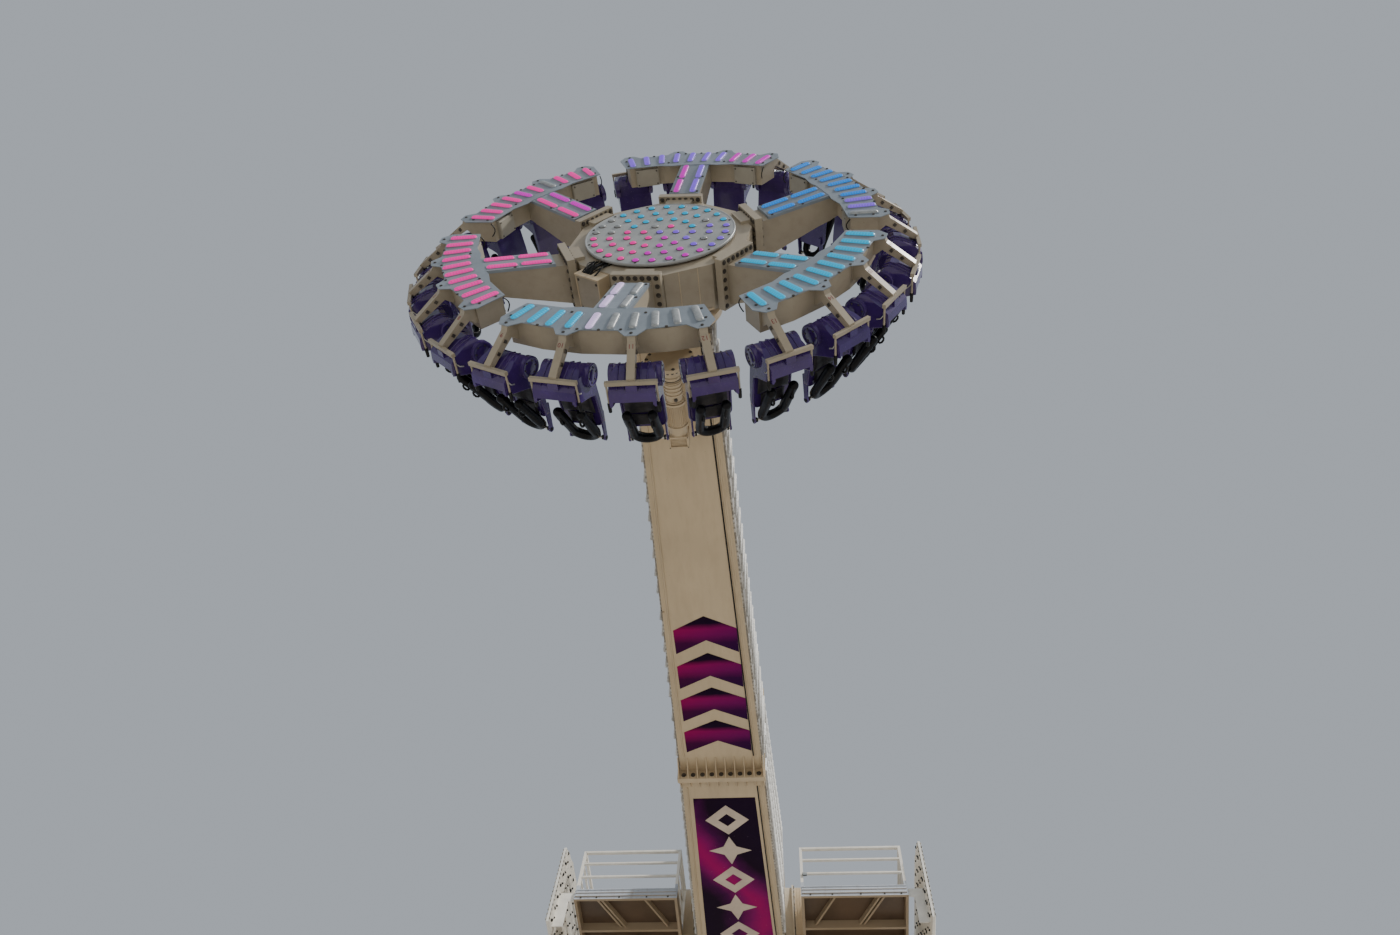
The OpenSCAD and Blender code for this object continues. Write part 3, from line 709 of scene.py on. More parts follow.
TRAY_R = (1.43, 2.32)
TRAY_Z = (0.112, 0.004)
TRAY_BAR_X = 0.118
TRAY_BAR_L = 0.385
TRAY_BAR_STARTS = (0.03, 0.46)


def tray_frame(place):
    """Frame on the face of a spoke's sloping tray: Y runs outward from its inner end."""
    along = Vector((0, TRAY_R[1] - TRAY_R[0], TRAY_Z[1] - TRAY_Z[0]))
    return frame_at(place, (0, TRAY_R[0], TRAY_Z[0]), Vector((1, 0, 0)).cross(along))


def add_light_bars():
    for k in ARMS:
        shape = Shape()
        place = ring_arm(k)
        for j, colour in enumerate(ARC_COLOURS[k - 1]):
            turn = turned((j - (BAR_COUNT - 1)/2)*BAR_STEP, place)
            light_bar(shape, turn @ Matrix.Translation((0, BAR_R[0], 0)), BAR_R[1] - BAR_R[0], colour)
        tray = tray_frame(place)
        for side, colour in zip((1, -1), SPOKE_COLOURS[k - 1]):
            for y in TRAY_BAR_STARTS:
                light_bar(shape, tray @ Matrix.Translation((side*TRAY_BAR_X, y, 0)), TRAY_BAR_L, colour)
        shape.piece(f"light_bars_{k}", "ring", lens_list + [plate_sheet], "plate_sheet")


DISC_Z = 0.09
LAMP_RINGS = ((0.0, 1), (0.215, 6), (0.435, 14), (0.655, 20), (0.865, 26))
LAMP_R = 0.044
LAMP_PROFILE = dome(LAMP_R, 0.5*LAMP_R, base=0.004)
BEZEL_PROFILE = [(LAMP_R + 0.008, 0), (LAMP_R + 0.007, 0.006), (LAMP_R, 0.007), (LAMP_R - 0.002, 0.002)]
LIP_PROFILE = [(0.955, 0.0), (0.968, -0.006), (0.978, -0.004), (0.98, 0.03), (0.974, 0.034), (0.972, 0.0),
               (0.955, 0.0)]
UNDER_PROFILE = [(0.70, 0.03), (0.72, 0.058), (0.90, 0.058), (0.93, 0.02), (0.90, 0.015)]
DISC_BOLT_R = 0.93


def lamp_colour(angle, radius, number):
    """Colour by direction in the ring's frame: 90 degrees is the photo's lower edge."""
    turn = math.degrees(angle) % 360
    if number % 17 == 5:
        return "unlit"
    if 180 < turn < 216 and radius > 0.6:
        return "unlit"
    if 195 < turn < 345 and radius > 0.3:
        return "cyan"
    if turn >= 345 or turn < 50:
        return "violet"
    if turn < 110:
        return "magenta"
    return "pink"


def add_disc_lamps():
    shape = Shape()
    number = 0
    for radius, count in LAMP_RINGS:
        for angle in turns(count):
            at = (radius*math.cos(angle), radius*math.sin(angle), DISC_Z)
            place = frame_at(RING, at, (0, 0, -1))
            n = lens_names.index(lamp_colour(angle + RING_TURN, radius, number))
            shape.turned_profile(place, LAMP_PROFILE, 14, n)
            shape.turned_profile(place, BEZEL_PROFILE, 14, AFTER_LENSES)
            number += 1
    shape.piece("disc_lamps", "ring", lens_list + [bolt_steel], "disc_sheet")


def add_disc_rim():
    """Rolled lip of the disc, the dark ring behind it and its bolts."""
    shape = Shape()
    place = frame_at(RING, (0, 0, DISC_Z), (0, 0, 1))
    shape.turned_profile(place, LIP_PROFILE, 72, 0)
    shape.turned_profile(place, UNDER_PROFILE, 72, 1)
    for x, y in circle(DISC_BOLT_R, 12, 0.1):
        shape.bolt(RING, (x, y, DISC_Z), (0, 0, -1), 0.011, 2)
    shape.piece("disc_rim", "ring", [disc_sheet, number_paint, bolt_steel], "disc_sheet")


# Ring: bolts, covers and looms

FLANGE_FACES = ((1.2, -1), (1.3, 1))
TOP_BOLTS = 7
COLUMN_BOLTS = 5
BRACKET_BOLT_R = 2.875
TRAY_BOLT_X = 0.185

# Bolts of a light plate, as degrees from its middle and radius
PLATE_BOLTS = ((-24, 2.5), (-24, 2.72), (24, 2.5), (24, 2.72), (-15, 2.79), (15, 2.79), (0, 2.79),
               (-10, 2.43), (10, 2.43), (-5, 2.79), (5, 2.79))


def add_ring_bolts():
    """Bolts of the spokes' flanges, the light plates, the seat brackets and the trays."""
    shape = Shape()
    for k in ARMS:
        place = ring_arm(k)
        for r, out in FLANGE_FACES:
            spots = [(-0.255 + 0.51*i/(TOP_BOLTS - 1), 0.118) for i in range(TOP_BOLTS)]
            spots += [(s*0.262, 0.225 + 0.115*i) for s in SIDES for i in range(COLUMN_BOLTS)]
            for x, z in spots:
                shape.bolt(place, (x, r, z), (0, out, 0), 0.021)
        for degrees, r in PLATE_BOLTS:
            shape.bolt(turned(math.radians(degrees), place), (0, r, 0), (0, 0, -1), 0.012)
        for seat in row_seats(k):
            shape.bolt(seat, (0, BRACKET_BOLT_R, 0), (0, 0, -1), 0.013)
        tray = tray_frame(place)
        for y in (0.06, 0.5):
            for side in SIDES:
                shape.bolt(tray, (side*TRAY_BOLT_X, y, 0), (0, 0, -1), 0.012)
    shape.piece("ring_bolts", "ring", [bolt_steel], "drum_steel")


COVER_ANGLE = math.radians(18)
BEAM_IN = 2.44*math.cos(math.radians(6)) - 0.001
COVER_STEPS = ((0.17, -0.05, 0.002, 0.05, 0.30), (0.155, -0.056, -0.048, 0.065, 0.285))
LEAD_X = 0.30


def add_beam_covers():
    """Covers on the inner faces of the curved beams, and a short lead beside each."""
    covers = Shape()
    looms = Shape()
    for k in ARMS:
        for side in SIDES:
            turn = turned(side*COVER_ANGLE, ring_arm(k))
            for half, y0, y1, z0, z1 in COVER_STEPS:
                covers.box(turn, (-half, half), (BEAM_IN + y0, BEAM_IN + y1), (z0, z1))
            for x in SIDES:
                for z in (0.08, 0.27):
                    covers.bolt(turn, (x*0.14, BEAM_IN - 0.056, z), (0, -1, 0), 0.008, 1)
            points = []
            for t in (0, 0.2, 0.4, 0.6, 0.8, 1.0):
                sag = 0.05*math.sin(math.pi*t)
                points.append((-side*LEAD_X + 0.03*t*t, BEAM_IN - 0.012 - sag, 0.03 + 0.17*t))
            looms.tube(turn, points, 0.008, 6)
    soften(covers.piece("beam_covers", "ring", [cover_sheet, bolt_steel], "plate_sheet"), 0.002, 1)
    looms.piece("beam_looms", "ring", [black_rubber])


BOX_HALF = 0.21
BOX_Y = (1.12, 1.345)
BOX_PLATE = 0.022
LEADS = 14
LEAD_FROM = 1.27
SEAM_X = 0.12
SEAM_Y = 1.149


def add_hub_details():
    """Frame plates of the junction box, leads from it into the hub and weld lines on the hub's walls."""
    random.seed(7)
    box = Shape()
    loom = Shape()
    place = turned(ARM_STEP/2, ring_arm(1))
    for z in (0.165, 0.675):
        box.box(place, (-BOX_HALF, BOX_HALF), BOX_Y, (z, z + BOX_PLATE))
    for x in (-0.206, 0.19):
        box.box(place, (x, x + 0.016), (BOX_Y[0], BOX_Y[1] - 0.007), (0.17, 0.69))
    for x in (-0.16, 0.16):
        for z in (0.24, 0.62):
            box.bolt(place, (x, 1.332, z), (0, 1, 0), 0.012, 1)
    for n in range(LEADS):
        x = random.uniform(-0.16, 0.16)
        lift = random.uniform(0.02, 0.05)
        reach = random.uniform(0.90, 1.02)
        end_x = x + random.uniform(-0.12, 0.12)
        points = []
        for i in range(9):
            t = i/8
            y = lerp(LEAD_FROM, reach, t)
            z = 0.168 - 0.02*t - lift*math.sin(math.pi*t)
            points.append((lerp(x, end_x, t) + 0.02*math.sin(5*t + n), y, z))
        loom.tube(place, points, random.choice((0.006, 0.008, 0.01)), 6)
    soften(box.piece("junction_box_frame", "ring", [cream_paint, bolt_steel], "cream_paint"), 0.002, 1)
    loom.piece("junction_loom", "ring", [black_rubber])
    ribs = Shape()
    for k in range(1, ARM_COUNT):
        wall = turned(k*ARM_STEP + ARM_STEP/2, RING)
        for x in (-SEAM_X, SEAM_X):
            ribs.tube(wall, [(x, SEAM_Y, 0.16), (x, SEAM_Y, 0.74)], 0.005, 6)
        ribs.box(wall, (-0.29, 0.29), (SEAM_Y - 0.009, SEAM_Y + 0.007), (0.72, 0.75))
    soften(ribs.piece("hub_seams", "ring", [cream_paint], "cream_paint"), 0.002, 1)


# Seats

TAB_R = 2.925
SEAT_HALF = 0.25
CROSS_R = TAB_R + 0.355
CROSS_Z = 0.362
ROD_X = 0.265
ROD_TOP = CROSS_Z + 0.32
BACK_TOP = 1.22
BACK_ROUND = 0.095
RIM_R = 0.016
COVER_AT = (0.002, 0.472)
COVER_OUT = 0.034
COVER_BOLT_R = 0.083
PAN_RIBS = [(0.36, 0.44), (0.315, 0.40), (0.155, 0.322), (0.055, 0.30), (-0.01, 0.33)]
LUGS = ((2.99, 0.165), (3.12, 0.255))
COVER_PROFILE = [(0.0, 0.007), (0.06, 0.006), (0.066, 0.002), (0.1, 0.002), (0.106, 0.007),
                 (0.124, 0.006), (0.1345, -0.004), (0.136, -0.02)]
GRIP_PROFILE = [(0.0, 0.035), (0.012, 0.034), (0.019, 0.028), (0.021, -0.03), (0.021, -0.08),
                (0.0125, -0.086)]
STAY = [(ROD_X, 0, 0), (ROD_X - 0.002, -0.012, 0.12), (0.255, -0.05, 0.17), (0.252, -0.1, 0.19)]


def rim_path():
    """Middle line of the rolled rim in a seat's frame: up one side, across the back's top and down."""
    side = [(-0.02, 0.735), (-0.05, 0.76), (-0.092, 1.0), (-0.112, BACK_TOP - BACK_ROUND)]
    front = [(0.40, 0.612), (0.24, 0.656), (0.065, 0.702)]
    edge = SEAT_HALF - 0.014
    path = [(edge, y, z) for y, z in front + side]
    turn = BACK_ROUND - 0.014
    for i in range(1, 7):
        a = math.pi/2*i/6
        path.append((edge - turn + turn*math.cos(a), -0.112 - 0.02*math.sin(a),
                     BACK_TOP - BACK_ROUND + turn*math.sin(a)))
    path = [(x, TAB_R + y, z + 0.004) for x, y, z in path]
    return path + [(-x, y, z) for x, y, z in reversed(path)]


def add_seat_trim():
    """Rims, ribs under the pan, side discs, grips and bracket lugs of the seats, as two pieces a row."""
    for k in ARMS:
        shells = Shape()
        metal = Shape()
        for seat in row_seats(k):
            shells.tube(seat, rim_path(), RIM_R, 8)
            for side in SIDES:
                for x in (0.085, 0.16):
                    path = [(side*x, TAB_R + y, z - 0.002) for y, z in PAN_RIBS]
                    shells.tube(seat, path, 0.009, 8)
                middle = (side*(SEAT_HALF + COVER_OUT), TAB_R + COVER_AT[0], COVER_AT[1])
                disc = frame_at(seat, middle, (side, 0, 0))
                shells.turned_profile(disc, COVER_PROFILE, 32)
                for x, y in circle(COVER_BOLT_R, 6):
                    metal.bolt(disc, (x, y, 0.002), (0, 0, 1), 0.007, 2)
                grip = frame_at(seat, (side*ROD_X, CROSS_R, ROD_TOP), (0, 0, 1))
                metal.turned_profile(grip, GRIP_PROFILE, 14, 1)
                stay = [(side*x, CROSS_R + y, CROSS_Z + z) for x, y, z in STAY]
                metal.tube(seat, stay, 0.008, 8, 0)
                for y, z in LUGS:
                    lug = frame_at(seat, (side*0.046, y, z), (side, 0, 0), (0, 0, 1))
                    metal.prism(lug, circle(0.028, 4), 0, 0.012, 2)
        shells.piece(f"shell_trim_{k}", "ring", [purple_shell], "purple_shell")
        metal.piece(f"seat_metal_{k}", "ring", [pale_steel, black_rubber, bolt_steel], "drum_steel")


def pad_mesh(shape, place, width, length, thick, channels):
    """Crowned cushion on the place's XY plane, with sewn channels across and pulled-in edges."""
    across = 16
    steps = 24
    verts = []
    for side in (1, -1):
        for j in range(steps + 1):
            for i in range(across + 1):
                u = 2*i/across - 1
                v = 2*j/steps - 1
                edge = max(0.0, 1 - abs(u)**4)*max(0.0, 1 - abs(v)**4)
                pull = 1 - 0.05*(1 - abs(u)*abs(v))*max(abs(u), abs(v))
                channel = 1 - 0.22*math.exp(-(8*((v*channels/2) % 1 - 0.5))**2)
                crown = math.sqrt(edge)*(channel if side > 0 else 1)
                verts.append((width/2*u*pull, length/2*v*pull, thick*(0.5 + 0.5*side*crown)))
    count = (across + 1)*(steps + 1)
    front = [(a, d, c, b) for a, b, c, d in grid(across, steps)]
    back = [tuple(count + n for n in face[::-1]) for face in front]
    shape.add(place, verts, front + back, 0, True)


# Pads of a seat: place and facing in Y and Z, size and number of channels
PADS = (
    ((-0.058, 0.80), (0.99, 0.135), (0.40, 0.42, 0.045), 3),
    ((-0.106, 1.10), (0.99, 0.15), (0.31, 0.16, 0.04), 1),
    ((0.275, 0.512), (-0.60, 0.80), (0.39, 0.20, 0.035), 1),
)


def add_seat_pads():
    """Back, head and seat pads of each seat, as one padded piece for each row."""
    for k in ARMS:
        pads = Shape()
        for seat in row_seats(k):
            for (y, z), facing, size, channels in PADS:
                pad_mesh(pads, frame_at(seat, (0, TAB_R + y, z), (0, *facing)), *size, channels)
        made = pads.piece(f"seat_pads_{k}", "ring", [grey_pad], "black_pad")


HINGE_Y = TAB_R - 0.157
HINGE_Z = 1.405
COLLAR_LEAN = math.radians(32)
COLLAR_HALF = 0.142
COLLAR_R = 0.056
COLLAR_L = 0.46
EAR_X = 0.208
LINK_X = 0.19
HANDLE = [(0.125, 0.03, -0.42), (0.12, 0.07, -0.43), (0.12, 0.082, -0.455), (0.12, 0.082, -0.495),
          (0.12, 0.07, -0.52), (0.125, 0.03, -0.53)]


def collar_path():
    """Middle line of the collar from one pad's tip, behind the neck, to the other's."""
    points = []
    down = [COLLAR_HALF + COLLAR_L - COLLAR_L*i/10 for i in range(11)]
    points += [(-COLLAR_HALF, 0, -d) for d in down]
    arc = [math.pi - math.pi*i/14 for i in range(1, 14)]
    points += [(COLLAR_HALF*math.cos(a), 0, -COLLAR_HALF + COLLAR_HALF*math.sin(a)) for a in arc]
    points += [(COLLAR_HALF, 0, -d) for d in down[::-1]]
    return points


def collar_mesh():
    """Padded collar in its own frame: the hinge is X at the origin, the pads hang down -Z."""
    shape = Shape()
    lean = Matrix.Rotation(COLLAR_LEAN, 4, "X")
    path = collar_path()
    count = len(path)
    sides = 18
    verts = []
    for i, p in enumerate(path):
        before = Vector(path[max(i - 1, 0)])
        after = Vector(path[min(i + 1, count - 1)])
        along = (after - before).normalized()
        out = along.cross(Vector((0, 1, 0)))
        t = i/(count - 1)
        swell = 1.0 + 0.05*math.sin(6*math.pi*t)
        groove = 1 - 0.10*sum(math.exp(-((t - g)/0.008)**2) for g in (0.16, 0.33, 0.67, 0.84))
        for s in range(sides):
            a = 2*math.pi*s/sides
            seam = 1 - 0.07*math.exp(-((math.cos(a)*3.2) ** 2))*(math.sin(a) > 0)
            r = COLLAR_R*swell*groove*seam
            verts.append(Vector(p) + out*r*math.cos(a)*0.98 + Vector((0, 1, 0))*r*math.sin(a)*1.04)
    faces = []
    for i in range(count - 1):
        for s in range(sides):
            t = (s + 1) % sides
            faces.append((i*sides + s, (i + 1)*sides + s, (i + 1)*sides + t, i*sides + t))
    shape.add(lean, verts, faces, 0, True)
    for side in SIDES:
        end = Matrix.Translation((side*COLLAR_HALF, 0, -COLLAR_HALF - COLLAR_L))
        tip = lean @ end @ Matrix.Rotation(math.pi, 4, "X")
        cap = dome(COLLAR_R, 0.95*COLLAR_R, (0, 0.3, 0.6, 0.9, 1.2, 1.45, math.pi/2))
        shape.turned_profile(tip, cap, sides, 0)
        shape.tube(lean, [(side*x, y, z) for x, y, z in HANDLE], 0.014, 8, 1)
        link = frame_at(WORLD, (side*LINK_X, 0, 0), (side, 0, 0))
        shape.prism(link, circle(0.03, 16), -0.012, 0.008, 1)
        washer = frame_at(WORLD, (side*(EAR_X + 0.021), 0, 0), (side, 0, 0))
        shape.prism(washer, circle(0.021, 16), -0.003, 0.004, 1)
    pin_half = EAR_X + 0.024
    hinge = frame_at(WORLD, (-pin_half, 0, 0), (1, 0, 0))
    shape.prism(hinge, circle(0.0195, 16), 0, 2*pin_half, 2)
    return shape


def add_collars():
    """One padded collar for each seat; the first one's mesh serves all."""
    looks = [black_pad, black_rubber, pale_steel]
    first = collar_mesh().piece("collar_1", "restraint_1", looks, "black_pad")
    for n in range(1, SEAT_COUNT + 1):
        made = first
        if n > 1:
            made = bpy.data.objects.new(f"collar_{n}", first.data)
            bpy.context.scene.collection.objects.link(made)
        made.matrix_world = seat_frame(n) @ Matrix.Translation((0, HINGE_Y, HINGE_Z))
        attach(made, f"restraint_{n}")
        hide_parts(f"restraint_{n}")


def number_mesh(text, size):
    """Vertices and faces of a plain number, centred on its origin."""
    curve = bpy.data.curves.new("number", "FONT")
    curve.body = text
    curve.size = size
    curve.extrude = 0.0008
    curve.align_x = "CENTER"
    curve.align_y = "CENTER"
    curve.resolution_u = 3
    holder = bpy.data.objects.new("number", curve)
    bpy.context.scene.collection.objects.link(holder)
    bpy.context.view_layer.update()
    flat = holder.to_mesh()
    verts = [tuple(v.co) for v in flat.vertices]
    faces = [tuple(p.vertices) for p in flat.polygons]
    holder.to_mesh_clear()
    bpy.data.objects.remove(holder)
    bpy.data.curves.remove(curve)
    return verts, faces


def add_seat_numbers():
    shape = Shape()
    slope = Vector((0, CROSS_R - TAB_R - 0.005, CROSS_Z - 0.045 - 0.07)).normalized()
    out = slope.cross(Vector((1, 0, 0)))
    if out.z > 0:
        out = -out
    for n in range(1, SEAT_COUNT + 1):
        verts, faces = number_mesh(str((12 - n) % SEAT_COUNT + 1), 0.075)
        spot = Vector((0, TAB_R + 0.005, 0.07)) + slope*0.055 + out*0.001
        shape.add(frame_at(seat_frame(n), spot, out, (-1, 0, 0)), verts, faces)
    shape.piece("seat_numbers", "ring", [number_paint], "cream_paint")


# Arm

TIP_Z = -16.05
JOINT_Z = -7.14
FLANGE_T = 0.06
ARM_TOP_Z = JOINT_Z - FLANGE_T
ARM_LOW_Z = JOINT_Z + FLANGE_T
TIP_HALF = (1.005/2, 0.30)
MID_HALF = (1.45/2, 0.85)
ROOT_HALF = (1.86/2, 1.505)
TOUCH_Z = -0.145


def outer_half(z):
    t = (z - TIP_Z)/(ARM_TOP_Z - TIP_Z)
    return lerp(TIP_HALF[0], MID_HALF[0], t), lerp(TIP_HALF[1], MID_HALF[1], t)


def root_half(z):
    wide = lerp(MID_HALF[0], ROOT_HALF[0], (z - ARM_LOW_Z)/(0 - ARM_LOW_Z))
    deep = lerp(MID_HALF[1], ROOT_HALF[1], (z - ARM_LOW_Z)/(TOUCH_Z - ARM_LOW_Z))
    return wide, deep


CHEVRON_APEX = (-10.95, -10.13, -9.32, -8.51)
CHEVRON_MARGIN = 0.108
CHEVRON_DROP = 0.29
CHEVRON_W = 0.53
FILM_LIFT = 0.004
FILM_T = 0.003


def add_chevrons():
    shape = Shape()
    across = 24
    steps = 8
    for apex in CHEVRON_APEX:
        reach = outer_half(apex + CHEVRON_DROP)[0] - CHEVRON_MARGIN
        verts = []
        uvs = []
        for j in range(steps + 1):
            for i in range(across + 1):
                x = reach*(2*i/across - 1)
                z = apex + CHEVRON_DROP*abs(x)/reach + CHEVRON_W*j/steps
                verts.append((x, outer_half(z)[1] + FILM_LIFT, z))
                uvs.append((0.5 + x/reach/2, (z - apex)/(CHEVRON_DROP + CHEVRON_W)))
        shape.add(ARM, verts, grid(across, steps), uvs=uvs)
    thicken(shape.piece("chevrons", "arm", [chevron_film], "cream_paint"), FILM_T, -1)


BANNER_Z = (-6.41, -1.0)
BANNER_X = ((-0.60, 0.575), (-0.74, 0.74))
MOTIF_PITCH = 0.90
MOTIF_HALF = 0.42
MOTIF_WAIST = 0.42
MOTIF_LIFT = 0.002


def star_outline(half, waist):
    """Star with four points and concave sides."""
    angles = [math.pi*i/4 + math.pi/2 for i in range(8)]
    radii = [half, waist]*4
    return [(r*math.cos(a), r*math.sin(a)) for r, a in zip(radii, angles)]


def add_banner():
    """Film with the night-sky print on the root section's face, and pale diamonds and stars on it."""
    film = Shape()
    steps = 40
    across = 8
    length = BANNER_Z[1] - BANNER_Z[0]
    verts = []
    uvs = []
    for j in range(steps + 1):
        t = j/steps
        z = lerp(BANNER_Z[0], BANNER_Z[1], t)
        left = lerp(BANNER_X[0][0], BANNER_X[1][0], t)
        right = lerp(BANNER_X[0][1], BANNER_X[1][1], t)
        for i in range(across + 1):
            verts.append((lerp(left, right, i/across), root_half(z)[1] + FILM_LIFT, z))
            uvs.append((i/across, length*t))
    film.add(ARM, verts, grid(across, steps), uvs=uvs)
    thicken(film.piece("banner", "arm", [banner_film], "cream_paint"), FILM_T, -1)
    motif = Shape()
    slope = Vector((0, ROOT_HALF[1] - MID_HALF[1], TOUCH_Z - ARM_LOW_Z)).normalized()
    out = slope.cross(Vector((-1, 0, 0)))
    if out.y < 0:
        out = -out
    for n in range(int((length - 0.4)/MOTIF_PITCH)):
        z = BANNER_Z[0] + 0.62 + n*MOTIF_PITCH
        place = frame_at(ARM, (0, root_half(z)[1] + FILM_LIFT, z), out)
        if n % 2 == 0:
            outer = circle(MOTIF_HALF, 4)
            inner = [(MOTIF_WAIST*x, MOTIF_WAIST*y) for x, y in outer]
            motif.add(place, [(x, y, MOTIF_LIFT) for x, y in outer + inner], band(4))
        else:
            star = star_outline(MOTIF_HALF, MOTIF_WAIST*MOTIF_HALF) + [(0, 0)]
            spikes = [(i, (i + 1) % 8, 8) for i in range(8)]
            motif.add(place, [(x, y, MOTIF_LIFT) for x, y in star], spikes)
    thicken(motif.piece("banner_motif", "arm", [pale_print], "cream_paint"), 0.002, 0)


GUSSETS = 10
GUSSET_PITCH = (1.45 + 2*0.085 - 0.06)/(GUSSETS - 1)
FLANGE_EDGE = 0.85 + 0.19
TIP_BOLT_R = 0.66


def add_arm_bolts():
    """Bolts of the flange between the arm's two sections, and of the bearing at its tip."""
    shape = Shape()
    for face in SIDES:
        for i in range(GUSSETS - 1):
            x = (i - (GUSSETS - 2)/2)*GUSSET_PITCH
            for out in SIDES:
                at = (x, face*(FLANGE_EDGE - 0.085), JOINT_Z + out*FLANGE_T)
                shape.bolt(ARM, at, (0, 0, out), 0.03)
    for x, y in circle(TIP_BOLT_R, 30):
        shape.bolt(ARM, (x, y, TIP_Z - 0.1), (0, 0, 1), 0.02)
    shape.piece("arm_bolts", "arm", [bolt_steel], "drum_steel")


STRIP_X = 0.055
STRIP_R = 0.016
DUCT_IN = 0.045
DUCT_R = 0.013
STRIP_SPANS = ((outer_half, TIP_Z + 0.2, ARM_TOP_Z - 0.36), (root_half, ARM_LOW_Z + 0.36, TOUCH_Z - 0.3))


def add_arm_edges():
    """Folded strips along the edges of the arm's faces, and a dark cable duct beside one of them."""
    strips = Shape()
    ducts = Shape()
    for face in SIDES:
        for side in SIDES:
            for half, z0, z1 in STRIP_SPANS:
                points = []
                for z in (z0, z1):
                    w, d = half(z)
                    points.append((side*(w - STRIP_X), face*(d + 0.004), z))
                strips.tube(ARM, points, STRIP_R, 4)
                if side > 0:
                    ducts.tube(ARM, [(x - DUCT_IN, y, z) for x, y, z in points], DUCT_R, 6)
    strips.piece("arm_edge_strips", "arm", [arm_paint], "cream_paint")
    ducts.piece("arm_ducts", "arm", [black_rubber])


ROPE_R = 0.03
ROPE_INSET = 0.06
TRIM_T = 0.034
TRIM_W = 0.044
TRIM_IN = 0.002
BOARD_T = 0.065

# Stretches of the boards: half widths, ends along the arm, pitch of the rungs and columns of rope
BOARD_SPANS = ((outer_half, TIP_Z + 0.1, -11.085, 0.36, 1), (outer_half, -11.055, -8.7, 0.36, 1),
               (outer_half, -8.7, ARM_TOP_Z - 0.015, 0.46, 1), (root_half, ARM_LOW_Z + 0.015, -2.05, 0.26, 4))


def add_light_net():
    """Zigzag light ropes on the outside of the arm's boards: rungs out to the tip, a net at the root."""
    shape = Shape()
    for side in SIDES:
        for half, z0, z1, pitch, columns in BOARD_SPANS:
            steps = int((z1 - z0 - 0.06)/(pitch/2))
            for column in range(columns):
                points = []
                for i in range(steps + 1):
                    z = z0 + 0.03 + i*pitch/2
                    w, d = half(z)
                    wide = 2*(d - ROPE_INSET)/columns
                    swing = 0.5*wide*(1 if (i + column) % 2 else -1)
                    y = -d + ROPE_INSET + wide*(column + 0.5) + 0.96*swing
                    points.append((side*(w + BOARD_T + 0.4*ROPE_R), y, z))
                shape.tube(ARM, points, ROPE_R, 6, 0)
            for face in SIDES:
                corners = []
                for z in (z0, z1):
                    w, d = half(z)
                    for x, y in ((TRIM_IN, TRIM_W), (TRIM_IN, TRIM_IN), (TRIM_T, TRIM_IN), (TRIM_T, TRIM_W)):
                        corners.append((side*(w + x), face*(d - y), z))
                shape.add(ARM, corners, band(4) + [(0, 3, 2, 1), (4, 5, 6, 7)], 1)
    shape.piece("arm_light_net", "arm", [pale_rope, arm_paint], "white_sheet")


MOTOR_Y = 0.70
BELL_Z = TIP_Z + 0.21
BELL_R = 0.33
GEAR_Z = 0.24
GEAR_R = 0.112
BELL_BOLT_R = BELL_R*0.93
NECK_BOLT_R = GEAR_R + 0.03
MOTOR_Z = 0.66
MOTOR_R = 0.13
COWL_Z = 1.18
COWL_L = 0.185
COWL_HALF = 0.14
PLUG_PROFILE = [(0.0, 0.032), (0.018, 0.032), (0.02, 0.028), (0.02, 0.016), (0.028, 0.014), (0.028, -0.01)]


